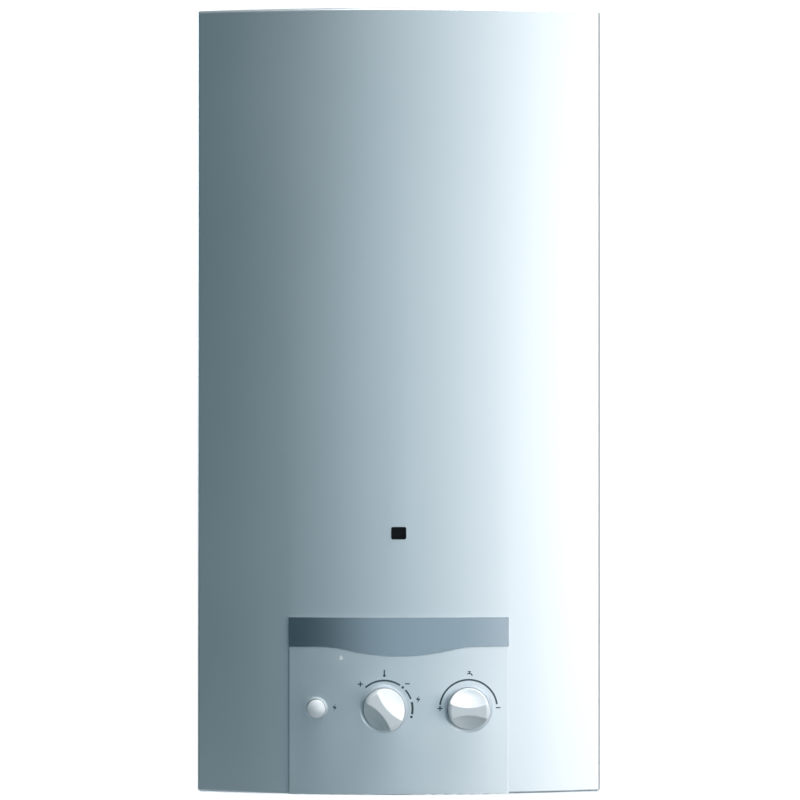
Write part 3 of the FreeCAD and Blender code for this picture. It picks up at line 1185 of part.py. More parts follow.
def pipes():
    export("gas_pipe", pipe([(POWER_X, -UNION_Y, UNION_TOP), (POWER_X, -UNION_Y, GAS_RUN_HEIGHT),
                             (POWER_X, -GAS_INLET_Y, GAS_RUN_HEIGHT), (POWER_X, -GAS_INLET_Y, GAS_LOW)],
                            GAS_BEND, GAS_PIPE_RADIUS, PIPE_WALL))
    export("cold_pipe", pipe([(UNION_SPACING, -UNION_Y, UNION_TOP),
                              (UNION_SPACING, -UNION_Y, COLD_PORT_HEIGHT),
                              (UNION_SPACING, -COLD_PORT_Y, COLD_PORT_HEIGHT),
                              (WATER_RIGHT, -COLD_PORT_Y, COLD_PORT_HEIGHT)],
                             WATER_BEND, WATER_PIPE_RADIUS, PIPE_WALL))
    last_tube = tube_rows()[-1]
    export("hot_pipe", pipe([(-UNION_SPACING, -UNION_Y, UNION_TOP),
                             (-UNION_SPACING, -UNION_Y, HOT_RUN_HEIGHT),
                             (-HOT_RISER_X, last_tube, HOT_RUN_HEIGHT),
                             (-HOT_RISER_X, last_tube, TUBE_HEIGHT),
                             (-TUBE_END, last_tube, TUBE_HEIGHT)],
                            WATER_BEND, WATER_PIPE_RADIUS, PIPE_WALL))
    feed = pipe([(GAS_OUTLET_X, -MAIN_Y, GAS_TOP), (GAS_OUTLET_X, -MAIN_Y, FEED_HEIGHT),
                 (GAS_OUTLET_X, -MANIFOLD_Y, FEED_HEIGHT), (GAS_OUTLET_X, -MANIFOLD_Y, MANIFOLD_HEIGHT)],
                GAS_BEND, WATER_PIPE_RADIUS, PIPE_WALL)
    export("manifold_pipe", cut(feed, rod_x(MANIFOLD_RADIUS, -MANIFOLD_Y, MANIFOLD_HEIGHT,
                                            -FRAME_HALF_WIDTH, FRAME_HALF_WIDTH)))


# Burner, pilot and ignition

def bar_places():
    first = -(BURNER_BARS - 1) * BAR_PITCH / 2
    return [first + BAR_PITCH * i for i in range(BURNER_BARS)]


def burner():
    half = BAR_WIDTH / 2
    bar = box(-half, half, -BAR_FRONT, -BAR_REAR, BAR_LOW, BAR_TOP)
    shoulders = [edge for edge in bar.Edges if edge.BoundBox.YLength > 10 and edge.BoundBox.ZMin > BAR_TOP - 1]
    bar = bar.makeFillet(BAR_ROUND, shoulders)
    inside = box(-half + BAR_WALL, half - BAR_WALL, -BAR_FRONT + BAR_WALL, -BAR_REAR - BAR_WALL,
                 BAR_LOW + BAR_WALL, BAR_TOP - BAR_ROUND - 0.2)
    bar = cut(bar, inside, rod_y(BAR_MOUTH, 0, MANIFOLD_HEIGHT, -BAR_FRONT - 1, -BAR_FRONT + 2))
    pitch = (BAR_FRONT - BAR_REAR) / (BAR_SLOTS + 1)
    for i in range(BAR_SLOTS):
        middle = -BAR_FRONT + pitch * (i + 1)
        bar = cut(bar, box(-half + 1.5, half - 1.5, middle - BAR_SLOT_WIDTH / 2,
                           middle + BAR_SLOT_WIDTH / 2,
                           BAR_TOP - 5, BAR_TOP + 1))
    export("burner_bars", *[moved(bar, x, 0, 0) for x in bar_places()])

    frame = box(-FRAME_HALF_WIDTH, FRAME_HALF_WIDTH, -FRAME_FRONT, -FRAME_REAR, FRAME_LOW, FRAME_TOP)
    inner = FRAME_HALF_WIDTH - FRAME_SHEET
    frame = cut(frame, box(-inner, inner, -FRAME_FRONT + FRAME_SHEET, -FRAME_REAR - FRAME_SHEET,
                           FRAME_LOW - 1, FRAME_TOP + 1))
    for y in (-BAR_FRONT + 2, -BAR_REAR - 2 - STAY_WIDTH):
        frame = fuse(frame, box(-inner - 0.5, inner + 0.5, y, y + STAY_WIDTH, BAR_LOW - FRAME_SHEET,
                                BAR_LOW))
    for x in bar_places():
        frame = cut(frame, rod_y(INJECTOR_RADIUS + 1, x, MANIFOLD_HEIGHT, -FRAME_FRONT - 1,
                                 -FRAME_FRONT + 3))
    for x in (-FRAME_HALF_WIDTH + ARM_WIDTH, FRAME_HALF_WIDTH - ARM_WIDTH):
        left, right = x - ARM_WIDTH / 2, x + ARM_WIDTH / 2
        arm = box(left, right, -FRAME_REAR - 0.5, -BACK_SHEET, FRAME_ARM, FRAME_ARM + FRAME_SHEET)
        foot = box(left, right, -BACK_SHEET - FRAME_SHEET, -BACK_SHEET, FRAME_ARM, FRAME_ARM + ARM_FOOT)
        frame = fuse(frame, arm, foot)
    export("burner_frame", fuse(frame, pilot_bracket()))


def manifold():
    half = FRAME_HALF_WIDTH - 4
    tube = rod_x(MANIFOLD_RADIUS, -MANIFOLD_Y, MANIFOLD_HEIGHT, -half, half)
    for side in (-1, 1):
        ends = sorted((side * (half - 2), side * half))
        tube = fuse(tube, box(ends[0], ends[1], -MANIFOLD_Y, -FRAME_FRONT, MANIFOLD_HEIGHT - MANIFOLD_EAR,
                              MANIFOLD_HEIGHT + MANIFOLD_EAR))
    tube = cut(tube, rod_x(MANIFOLD_RADIUS - MANIFOLD_WALL, -MANIFOLD_Y, MANIFOLD_HEIGHT, -half + 3,
                           half - 3),
               rod_z(WATER_PIPE_RADIUS - PIPE_WALL, GAS_OUTLET_X, -MANIFOLD_Y, FEED_HEIGHT,
                     MANIFOLD_HEIGHT))
    face = -MANIFOLD_Y + MANIFOLD_RADIUS
    jets = []
    for x in bar_places():
        tube = cut(tube, rod_y(INJECTOR_RADIUS - 1, x, MANIFOLD_HEIGHT, -MANIFOLD_Y, face + 1))
        thread = rod_y(INJECTOR_RADIUS - 1 - HOLE_GAP, x, MANIFOLD_HEIGHT, face - 3, face)
        body = rod_y(INJECTOR_RADIUS, x, MANIFOLD_HEIGHT, face, face + JET_BODY)
        tip = Part.makeCone(INJECTOR_RADIUS - 1, INJECTOR_RADIUS - 2, JET_TIP,
                            V(x, face + JET_BODY, MANIFOLD_HEIGHT), V(0, 1, 0))
        bore = rod_y(JET_BORE, x, MANIFOLD_HEIGHT, face - CUT_PAST, face + JET_BODY + JET_TIP + CUT_PAST)
        jets.append(cut(fuse(thread, body, tip), bore))
    export("gas_manifold", tube)
    export("injectors", *jets)


def pilot_bracket():
    """A tab on the burner frame, with a hole for the pilot, the electrode and the thermocouple."""
    y = -LEAD_Y
    plate = box(THERMOCOUPLE_X - 6, ELECTRODE_X + 6, y - 5, -FRAME_FRONT + 0.5, PILOT_PLATE,
                PILOT_PLATE + FRAME_SHEET)
    for x, radius in ((PILOT_X, PILOT_RADIUS), (ELECTRODE_X, CERAMIC_RADIUS),
                      (THERMOCOUPLE_X, COUPLE_RADIUS)):
        plate = cut(plate, rod_z(radius + HOLE_GAP, x, y, PILOT_PLATE - CUT_PAST, PILOT_PLATE + CUT_PAST))
    return plate


def pilot_group():
    """The pilot burner, the spark electrode and the thermocouple, with their tube, cable and lead."""
    y = -LEAD_Y
    body = rod_z(PILOT_RADIUS, PILOT_X, y, LEAD_TOP, PILOT_TOP)
    top = PILOT_PLATE + FRAME_SHEET
    collar = rod_z(PILOT_RADIUS + 0.6, PILOT_X, y, top, top + 2)
    reach = 2 * PILOT_RADIUS
    slot = box(PILOT_X - 1, PILOT_X + 1, y - reach, y + reach, PILOT_TOP - PILOT_SLOT, PILOT_TOP + 1)
    cross = box(PILOT_X - reach, PILOT_X + reach, y - 1, y + 1, PILOT_TOP - PILOT_SLOT, PILOT_TOP + 1)
    export("pilot_burner", cut(fuse(body, collar), slot, cross))
    ceramic = rod_z(CERAMIC_RADIUS, ELECTRODE_X, y, LEAD_TOP, ELECTRODE_TOP)
    rim = rod_z(CERAMIC_RADIUS + 0.8, ELECTRODE_X, y, top, top + 3)
    needle = pipe([(ELECTRODE_X, y, ELECTRODE_TOP - 1), (ELECTRODE_X, y, ELECTRODE_TOP + 6),
                   (ELECTRODE_X - 8, y, ELECTRODE_TOP + 9)], 2.0, 0.9)
    export("ignition_electrode", fuse(ceramic, rim, needle))
    tip = rod_z(COUPLE_RADIUS, THERMOCOUPLE_X, y, LEAD_TOP, ELECTRODE_TOP + 4)
    terminal = -GAS_REAR + TERMINAL_LENGTH
    behind = terminal + COUPLE_LOOP
    lead = pipe([(THERMOCOUPLE_X, y, LEAD_TOP + 1), (THERMOCOUPLE_X, y, COUPLE_RUN),
                 (THERMOCOUPLE_X, behind - 8, COUPLE_RUN), (POWER_X, behind, COUPLE_RUN - COUPLE_DROP),
                 (POWER_X, behind, CONTROL_HEIGHT), (POWER_X, terminal, CONTROL_HEIGHT)],
                COUPLE_BEND, COUPLE_LEAD)
    export("thermocouple", fuse(tip, lead))
    tube = pipe([(PILOT_PORT_X, -PILOT_PORT_Y, GAS_TOP), (PILOT_PORT_X, -PILOT_PORT_Y, GAS_TOP + 13),
                 (PILOT_X, y, GAS_TOP + 30), (PILOT_X, y, LEAD_TOP)], PILOT_BEND, PILOT_TUBE)
    export("pilot_gas_tube", tube)
    back = -BUTTON_RECESS_FLOOR + CUP_FLOOR + HOLE_GAP + IGNITER_LENGTH + IGNITER_PIN
    cable = pipe([(IGNITER_X, back, CONTROL_HEIGHT), (IGNITER_X, back + CABLE_LOOP, CONTROL_HEIGHT),
                  (IGNITER_X, back + CABLE_LOOP, GAS_TOP), (IGNITER_X + 9, y, GAS_TOP + 5),
                  (ELECTRODE_X, y, GAS_TOP + 15), (ELECTRODE_X, y, LEAD_TOP)], CABLE_BEND, CABLE_RADIUS)
    export("ignition_cable", cable)


# Heat exchanger

def tube_rows():
    first = jacket_middle + TUBE_PITCH * (TUBE_COUNT - 1) / 2
    return [first - TUBE_PITCH * i for i in range(TUBE_COUNT)]


def jacket_prism(inset, low, high):
    half = JACKET_HALF_WIDTH - inset
    block = box(-half, half, -JACKET_FRONT + inset, -JACKET_REAR - inset, low, high)
    corners = [edge for edge in block.Edges if edge.BoundBox.ZLength > (high - low) / 2]
    return block.makeFillet(JACKET_CORNER - inset, corners)


def heat_exchanger():
    jacket = cut(jacket_prism(0, JACKET_LOW, JACKET_TOP),
                 jacket_prism(JACKET_SHEET, JACKET_LOW - CUT_PAST, JACKET_TOP + CUT_PAST))
    for y in tube_rows():
        jacket = cut(jacket, rod_x(TUBE_RADIUS + HOLE_GAP, y, TUBE_HEIGHT, -TUBE_END, TUBE_END))
    export("exchanger_jacket", jacket)

    fin = jacket_prism(JACKET_SHEET + SEAT_GAP, TUBE_HEIGHT - FIN_HEIGHT / 2, TUBE_HEIGHT + FIN_HEIGHT / 2)
    fin = fin.common(box(0, FIN_THICKNESS, -JACKET_FRONT, 0, JACKET_LOW, JACKET_TOP))
    for y in tube_rows():
        fin = cut(fin, rod_x(TUBE_RADIUS + FIT_GAP, y, TUBE_HEIGHT, -CUT_PAST, CUT_PAST))
    count = int((2 * JACKET_HALF_WIDTH - 2 * JACKET_CORNER) / FIN_PITCH) + 1
    first = -(count - 1) * FIN_PITCH / 2 - FIN_THICKNESS / 2
    export("exchanger_fins", *[moved(fin, first + FIN_PITCH * i, 0, 0) for i in range(count)])

    edges = []
    turn_x = JACKET_HALF_WIDTH + TUBE_TURN_CLEARANCE
    side = 1
    start = V(TUBE_END, tube_rows()[0], TUBE_HEIGHT)
    for i, y in enumerate(tube_rows()):
        last = i == TUBE_COUNT - 1
        stop = V(-side * (TUBE_END if last else turn_x), y, TUBE_HEIGHT)
        edges.append(Part.LineSegment(start, stop).toShape())
        if not last:
            following = V(stop.x, tube_rows()[i + 1], TUBE_HEIGHT)
            outer = V(stop.x - side * TUBE_PITCH / 2, (y + following.y) / 2, TUBE_HEIGHT)
            edges.append(Part.Arc(stop, outer, following).toShape())
            start = following
        side = -side
    path = Part.Wire(edges)
    start = V(TUBE_END, tube_rows()[0], TUBE_HEIGHT)
    outside = swept_round(path, start, V(-1, 0, 0), TUBE_RADIUS)
    export("exchanger_tubes", outside.cut(swept_round(path, start, V(-1, 0, 0), TUBE_RADIUS - PIPE_WALL)))


def jacket_coil():
    """The cold riser, two turns round the jacket and the lift to the finned tubes, in one pipe."""
    side = JACKET_HALF_WIDTH + WATER_PIPE_RADIUS + COIL_CLEARANCE
    front = -JACKET_FRONT - WATER_PIPE_RADIUS - COIL_CLEARANCE
    rear = -JACKET_REAR + WATER_PIPE_RADIUS + COIL_CLEARANCE
    first_tube = tube_rows()[0]
    points = [(RISER_X, -RISER_Y, WATER_TOP), (RISER_X, -RISER_Y, RISER_CROSSING),
              (side, -RISER_Y, RISER_CROSSING), (side, -RISER_Y, COIL_LEVELS[0])]
    for level, following in zip(COIL_LEVELS, COIL_LEVELS[1:]):
        points += [(side, front, level), (-side, front, level), (-side, rear, level),
                   (side, rear, following)]
    points[-1] = (LIFT_X, rear, COIL_LEVELS[-1])
    points += [(LIFT_X, first_tube, COIL_LEVELS[-1]), (LIFT_X, first_tube, TUBE_HEIGHT),
               (TUBE_END, first_tube, TUBE_HEIGHT)]
    export("jacket_coil", pipe(points, COIL_BEND, WATER_PIPE_RADIUS, PIPE_WALL))


def brackets():
    strips = []
    side = JACKET_HALF_WIDTH - STAY_INSET
    for x in (-side, side):
        left, right = x - STAY_HALF_WIDTH, x + STAY_HALF_WIDTH
        for z in (JACKET_LOW + 10, COIL_LEVELS[-1] + 20):
            strip = box(left, right, -JACKET_REAR, -BACK_SHEET, z, z + BRACKET_SHEET)
            at_wall = box(left, right, -BACK_SHEET - BRACKET_SHEET, -BACK_SHEET, z, z + STAY_FOOT)
            at_jacket = box(left, right, -JACKET_REAR, -JACKET_REAR + BRACKET_SHEET, z, z + STAY_FOOT)
            strips.append(fuse(strip, at_wall, at_jacket))
    export("exchanger_brackets", *strips)
    low = GAS_LOW - VALVE_BRACKET_SHEET
    left, right = GAS_LEFT + GAS_CORNER, GAS_RIGHT - GAS_CORNER
    plate = box(left, right, -GAS_INLET_Y + GAS_PIPE_RADIUS + 2, -BACK_SHEET, low, GAS_LOW)
    upstand = box(left, right, -BACK_SHEET - BRACKET_SHEET, -BACK_SHEET, low, GAS_LOW + VALVE_BRACKET_FOOT)
    export("valve_bracket", fuse(plate, upstand))


def safety_sensors():
    x = -JACKET_HALF_WIDTH
    reach, rise, half = CUTOUT_FLANGE, CUTOUT_HALF_HEIGHT, TAB_HALF_SHEET
    level = SENSOR_HEIGHT
    plate = box(x - CUTOUT_SHEET, x, SENSOR_Y - reach, SENSOR_Y + reach, level - rise, level + rise)
    disc = rod_x(CUTOUT_RADIUS, SENSOR_Y, level, x - CUTOUT_DEPTH, x - 1)
    tabs = []
    for side in (-TAB_HALF_GAP, TAB_HALF_GAP):
        tabs.append(box(x - CUTOUT_TAB_END, x - CUTOUT_DEPTH + 1, SENSOR_Y + side - half,
                        SENSOR_Y + side + half,
                        level - TAB_HALF_HEIGHT, level + TAB_HALF_HEIGHT))
    cutout = fuse(plate, disc, *tabs)
    face = -HOOD_FRONT
    level = HOOD_TOP - 20
    plate = box(FLUE_SENSOR_X - reach, FLUE_SENSOR_X + reach, face - CUTOUT_SHEET, face, level - rise,
                level + rise)
    disc = rod_y(CUTOUT_RADIUS, FLUE_SENSOR_X, level, face - CUTOUT_DEPTH, face - 1)
    tabs = []
    for side in (-TAB_HALF_GAP, TAB_HALF_GAP):
        tabs.append(box(FLUE_SENSOR_X + side - half, FLUE_SENSOR_X + side + half, face - CUTOUT_TAB_END,
                        face - CUTOUT_DEPTH + 1, level - TAB_HALF_HEIGHT, level + TAB_HALF_HEIGHT))
    export("safety_thermostats", cutout, fuse(plate, disc, *tabs))


# Draught hood

def draught_hood():
    half = HOOD_HALF_WIDTH
    inner = half - HOOD_SHEET
    hood = box(-half, half, -HOOD_FRONT, -HOOD_REAR, JACKET_TOP, HOOD_TOP)
    corners = [edge for edge in hood.Edges if edge.BoundBox.ZLength > 10]
    hood = hood.makeFillet(HOOD_CORNER, corners)
    hollow = box(-inner, inner, -HOOD_FRONT + HOOD_SHEET, -HOOD_REAR - HOOD_SHEET,
                 JACKET_TOP + HOOD_SHEET, HOOD_TOP - HOOD_SHEET)
    uprights = [edge for edge in hollow.Edges if edge.BoundBox.ZLength > 10]
    hollow = hollow.makeFillet(HOOD_CORNER - HOOD_SHEET, uprights)
    mouth = jacket_prism(JACKET_SHEET + 3, JACKET_TOP - 1, JACKET_TOP + 5)
    sill = JACKET_TOP + HOOD_RELIEF_LIFT
    relief = box(-half + HOOD_RELIEF_END, half - HOOD_RELIEF_END, -HOOD_FRONT - CUT_PAST,
                 -HOOD_FRONT + CUT_PAST,
                 sill, sill + HOOD_RELIEF)
    hood = cut(hood, hollow, mouth, relief, rod_z(FLUE_RADIUS, 0, flue_y, HOOD_TOP - 5, HOOD_TOP + 1))
    export("draught_hood", hood)

    tube = rod_z(FLUE_RADIUS + HOOD_SHEET, 0, flue_y, HOOD_TOP, FLUE_TOP)
    flange = rod_z(FLUE_RADIUS + FLUE_RIM, 0, flue_y, HOOD_TOP, HOOD_TOP + HOOD_SHEET)
    bead = Part.makeTorus(FLUE_RADIUS + HOOD_SHEET, FLUE_BEAD, V(0, flue_y, FLUE_TOP - FLUE_RIM),
                          V(0, 0, 1))
    collar = cut(fuse(tube, flange, bead), rod_z(FLUE_RADIUS, 0, flue_y, HOOD_TOP - 1, FLUE_TOP + 1))
    export("flue_collar", collar)

    low, rise, reach = BAFFLE_HEIGHT, BAFFLE_RISE, BAFFLE_REACH
    outline = [V(-inner, flue_y - reach, low), V(-inner, flue_y, low + rise),
               V(-inner, flue_y + reach, low),
               V(-inner, flue_y + reach, low + HOOD_SHEET), V(-inner, flue_y, low + rise + HOOD_SHEET),
               V(-inner, flue_y - reach, low + HOOD_SHEET), V(-inner, flue_y - reach, low)]
    export("diverter_baffle", Part.Face(Part.makePolygon(outline)).extrude(V(2 * inner, 0, 0)))


os.makedirs("parts", exist_ok=True)
front_casing()
back_plate()
control_panel()
export("casing_screws", *casing_screws(), *panel_screws())
panel_strip()
sight_window()
power_controls()
temperature_controls()
igniter()
gas_valve()
safety_device()
main_valve()
water_valve()
water_inserts()
valve_screws()
unions()
pipes()
burner()
manifold()
pilot_group()
heat_exchanger()
jacket_coil()
brackets()
safety_sensors()
draught_hood()
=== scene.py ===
import math

import bpy
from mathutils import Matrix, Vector

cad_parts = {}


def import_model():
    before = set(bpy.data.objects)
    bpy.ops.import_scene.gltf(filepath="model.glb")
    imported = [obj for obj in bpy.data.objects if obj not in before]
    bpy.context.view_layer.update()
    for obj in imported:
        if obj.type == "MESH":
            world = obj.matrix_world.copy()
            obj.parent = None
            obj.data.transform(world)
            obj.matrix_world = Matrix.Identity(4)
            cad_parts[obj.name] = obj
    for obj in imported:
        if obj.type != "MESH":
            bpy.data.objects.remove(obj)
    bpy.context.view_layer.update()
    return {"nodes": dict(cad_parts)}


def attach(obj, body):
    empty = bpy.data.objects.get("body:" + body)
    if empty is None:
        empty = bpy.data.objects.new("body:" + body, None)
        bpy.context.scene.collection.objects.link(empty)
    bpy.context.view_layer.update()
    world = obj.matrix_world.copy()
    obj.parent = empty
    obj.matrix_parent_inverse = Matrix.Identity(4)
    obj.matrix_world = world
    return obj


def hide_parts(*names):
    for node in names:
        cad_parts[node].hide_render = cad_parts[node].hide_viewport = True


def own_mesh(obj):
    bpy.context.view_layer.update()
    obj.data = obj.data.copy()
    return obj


# A wall-hung tankless gas water heater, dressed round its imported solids.
# Metres, watts and degrees; the front faces -Y.

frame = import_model()
nodes = frame["nodes"]

# The casing's bottom edge; the origin lies on the wall between the two hook slots
BOTTOM = -0.640

# Front of the control panel: an upright cylinder bowed towards the viewer
PANEL_RADIUS = 0.70902
PANEL_CENTRE = 0.46302

# Print on the panel: how far it stands proud and reaches in, and the controls that it surrounds
PRINT_PROUD = 0.00008
PRINT_SUNK = 0.00012
CONTROL_Z = BOTTOM + 0.0753
POWER_X = -0.0125
TEMPERATURE_X = 0.0602
IGNITER_X = -0.0712

# Arcs: radius, width of the line, and start and end angle, clockwise from the top
POWER_ARC = 0.0244
TEMPERATURE_ARC = 0.0248
ARC_WIDTH = 0.0015
ARC_STEP = 3.0
HEAT_RANGE = (-41.4, 33.8)
IGNITION_RANGE = (48.4, 69.8)
PILOT_RANGE = (76.2, 101.0)
PILOT_WIDTH = ARC_WIDTH * 1.25
WATER_RANGE = (-82.0, 82.0)
DOT_ANGLES = (40.8, 106.5)
DOT_RADIUS = 0.00115
DISC_SIDES = 20

# Signs and symbols
PLUS_SIZE = 0.0044
POWER_MINUS = 0.0042
WATER_MINUS = 0.0040
SIGN_WIDTH = 0.0010
SYMBOL_SCALE = 0.00085
BOLT_SCALE = SYMBOL_SCALE * 1.25
TRIANGLE = [(-0.0519, BOTTOM + 0.1176), (-0.0497, BOTTOM + 0.1218), (-0.0475, BOTTOM + 0.1176)]


def link(name, data):
    thing = bpy.data.objects.new(name, data)
    bpy.context.scene.collection.objects.link(thing)
    return thing


# Materials: noise scales are in waves per metre, grain depths in metres

SMOOTHEST = 0.02
GLASS_IOR = 1.56
SPANGLES = 230.0
SPANGLE_COLOURS = [(0.0, (0.58, 0.60, 0.62)), (0.5, (0.62, 0.64, 0.66)), (1.0, (0.68, 0.70, 0.72))]
SPANGLE_ROUGHNESS = (0.34, 0.50)


def add(tree, kind, **values):
    node = tree.nodes.new(kind)
    for name, value in values.items():
        setattr(node, name, value)
    return node


def feed(tree, source, target):
    tree.links.new(source, target)


def ramp(tree, source, stops):
    node = add(tree, "ShaderNodeValToRGB")
    while len(node.color_ramp.elements) < len(stops):
        node.color_ramp.elements.new(0.5)
    for element, (place, colour) in zip(node.color_ramp.elements, stops):
        element.position = place
        element.color = (*colour, 1.0)
    feed(tree, source, node.inputs["Fac"])
    return node.outputs["Color"]


def noise(tree, coords, scale, detail=3.0, stretch=(1.0, 1.0, 1.0)):
    mapping = add(tree, "ShaderNodeMapping")
    mapping.inputs["Scale"].default_value = stretch
    feed(tree, coords, mapping.inputs["Vector"])
    node = add(tree, "ShaderNodeTexNoise")
    node.inputs["Scale"].default_value = scale
    node.inputs["Detail"].default_value = detail
    node.inputs["Roughness"].default_value = 0.55
    feed(tree, mapping.outputs["Vector"], node.inputs["Vector"])
    return node.outputs["Fac"]


def shade(colour, amount):
    return tuple(min(1.0, max(0.0, c * amount)) for c in colour)


def new_shader(name, metallic):
    material = bpy.data.materials.new(name)
    material.use_nodes = True
    tree = material.node_tree
    shader = tree.nodes["Principled BSDF"]
    shader.inputs["Metallic"].default_value = metallic
    return material, tree, shader


def roughen(tree, source, low, high, shader):
    spread = add(tree, "ShaderNodeMapRange")
    spread.inputs["To Min"].default_value = low
    spread.inputs["To Max"].default_value = high
    feed(tree, source, spread.inputs["Value"])
    feed(tree, spread.outputs["Result"], shader.inputs["Roughness"])


def emboss(tree, source, depth, shader):
    bump = add(tree, "ShaderNodeBump")
    bump.inputs["Strength"].default_value = 1.0
    bump.inputs["Distance"].default_value = depth
    feed(tree, source, bump.inputs["Height"])
    feed(tree, bump.outputs["Normal"], shader.inputs["Normal"])


def surface(name, colour, rough, metallic=0.0, mottle=30.0, contrast=0.06, grain=900.0, grain_depth=0.00003,
            stretch=(1.0, 1.0, 1.0), rough_spread=0.05, tint=None, tint_scale=12.0, specular=0.5):
    """A broad mottle varies colour and gloss, a fine grain the relief; tint lies in spots over the colour."""
    material, tree, shader = new_shader(name, metallic)
    shader.inputs["Specular IOR Level"].default_value = specular
    coords = add(tree, "ShaderNodeTexCoord").outputs["Object"]
    broad = noise(tree, coords, mottle, 4.0, stretch)
    base = ramp(tree, broad, [(0.3, shade(colour, 1.0 - contrast)), (0.7, shade(colour, 1.0 + contrast))])
    if tint is not None:
        mix = add(tree, "ShaderNodeMix", data_type="RGBA")
        spots = noise(tree, coords, tint_scale, 5.0, stretch)
        mask = ramp(tree, spots, [(0.45, (0, 0, 0)), (0.75, (1, 1, 1))])
        feed(tree, mask, mix.inputs["Factor"])
        feed(tree, base, mix.inputs["A"])
        mix.inputs["B"].default_value = (*tint, 1.0)
        base = mix.outputs["Result"]
    feed(tree, base, shader.inputs["Base Color"])
    roughen(tree, broad, max(SMOOTHEST, rough - rough_spread), min(1.0, rough + rough_spread), shader)
    emboss(tree, noise(tree, coords, grain, 2.0, stretch), grain_depth, shader)
    return material


def sheet_zinc():
    """Galvanised sheet: flat spangles that differ in shade and gloss."""
    material, tree, shader = new_shader("galvanised_sheet", 1.0)
    coords = add(tree, "ShaderNodeTexCoord").outputs["Object"]
    spangles = add(tree, "ShaderNodeTexVoronoi")
    spangles.inputs["Scale"].default_value = SPANGLES
    spangles.inputs["Randomness"].default_value = 1.0
    feed(tree, coords, spangles.inputs["Vector"])
    split = add(tree, "ShaderNodeSeparateColor")
    feed(tree, spangles.outputs["Color"], split.inputs["Color"])
    feed(tree, ramp(tree, split.outputs["Red"], SPANGLE_COLOURS), shader.inputs["Base Color"])
    roughen(tree, split.outputs["Green"], *SPANGLE_ROUGHNESS, shader)
    emboss(tree, noise(tree, coords, 700.0), 0.00002, shader)
    return material


# The sight pane is opaque. Its near-black colour is painted shade that stands for the dark inside of the
# heater seen through the window.
def shaded_sight_pane():
    material = surface("mica_pane", (0.003, 0.004, 0.006), 0.12, mottle=90.0, contrast=0.3, grain=300.0,
                       grain_depth=0.000004, specular=0.12)
    material.node_tree.nodes["Principled BSDF"].inputs["IOR"].default_value = GLASS_IOR
    return material


# Outside: satin enamel and plastics
enamel = surface("casing_enamel", (0.78, 0.83, 0.87), 0.44, 0.95, mottle=5.0, contrast=0.012,
                 grain=1500.0, grain_depth=0.000012, rough_spread=0.03)
panel_plastic = surface("panel_plastic", (0.79, 0.84, 0.88), 0.44, 0.95, mottle=40.0, contrast=0.012,
                        grain=2600.0, grain_depth=0.000012, rough_spread=0.04)
strip_plastic = surface("strip_plastic", (0.41, 0.46, 0.51), 0.27, 1.0, mottle=8.0, contrast=0.01,
                        grain=2600.0, grain_depth=0.0000004, rough_spread=0.01)
knob_plastic = surface("knob_plastic", (0.82, 0.86, 0.89), 0.40, 0.08, mottle=60.0, contrast=0.01,
                       grain=1800.0, grain_depth=0.000006)
black_plastic = surface("black_plastic", (0.005, 0.006, 0.008), 0.5, mottle=80.0, contrast=0.15,
                        grain=1600.0, specular=0.12)
print_ink = surface("print_ink", (0.045, 0.075, 0.09), 0.55, mottle=300.0, contrast=0.1,
                    grain=4000.0, grain_depth=0.000005)
pale_ink = surface("pale_ink", (0.82, 0.87, 0.90), 0.5, mottle=300.0, contrast=0.03,
                   grain=4000.0, grain_depth=0.000005)

# Inside: sheet, tube, castings and small parts
zinc = sheet_zinc()
# The sight pane's near-black colour is painted shade for the dark inside behind it.
mica_painted_shade = shaded_sight_pane()
copper = surface("copper", (0.80, 0.40, 0.26), 0.30, 1.0, mottle=25.0, contrast=0.10,
                 grain=500.0, grain_depth=0.00002, tint=(0.42, 0.20, 0.13), tint_scale=9.0)
tinned_copper = surface("tinned_copper", (0.72, 0.66, 0.62), 0.34, 1.0, mottle=22.0, contrast=0.12,
                        grain=420.0, grain_depth=0.00003, tint=(0.70, 0.40, 0.28), tint_scale=10.0)
brass = surface("yellow_brass", (0.80, 0.61, 0.31), 0.28, 1.0, mottle=60.0, contrast=0.07,
                grain=900.0, grain_depth=0.00001, stretch=(1.0, 1.0, 12.0), tint=(0.55, 0.38, 0.18),
                tint_scale=20.0)
cast_brass = surface("cast_brass", (0.66, 0.52, 0.30), 0.48, 1.0, mottle=60.0, contrast=0.10,
                     grain=500.0, grain_depth=0.00012, tint=(0.50, 0.36, 0.20), tint_scale=30.0)
cast_alloy = surface("cast_alloy", (0.62, 0.63, 0.64), 0.50, 0.9, mottle=70.0, contrast=0.06,
                     grain=600.0, grain_depth=0.0001)
burner_steel = surface("burner_steel", (0.55, 0.52, 0.50), 0.33, 1.0, mottle=24.0, contrast=0.10,
                       grain=900.0, grain_depth=0.00001, stretch=(1.0, 14.0, 1.0),
                       tint=(0.42, 0.33, 0.27), tint_scale=18.0)
plain_steel = surface("plain_steel", (0.56, 0.57, 0.58), 0.38, 1.0, mottle=50.0, contrast=0.07,
                      grain=900.0, grain_depth=0.00002)
spring_steel = surface("spring_steel", (0.60, 0.60, 0.61), 0.22, 1.0, mottle=200.0, contrast=0.05,
                       grain=3000.0, grain_depth=0.000005)
screw_steel = surface("screw_steel", (0.70, 0.70, 0.68), 0.27, 1.0, mottle=150.0, contrast=0.06,
                      grain=2500.0, grain_depth=0.00001, tint=(0.66, 0.63, 0.50), tint_scale=120.0)
rubber = surface("seal_rubber", (0.03, 0.03, 0.032), 0.75, mottle=90.0, contrast=0.2,
                 grain=1400.0, grain_depth=0.00005)
silicone = surface("cable_silicone", (0.40, 0.06, 0.035), 0.45, mottle=90.0, contrast=0.1, grain=1400.0)
ceramic = surface("white_ceramic", (0.82, 0.79, 0.74), 0.55, mottle=120.0, contrast=0.04, grain=1500.0,
                  tint=(0.62, 0.56, 0.48), tint_scale=80.0)
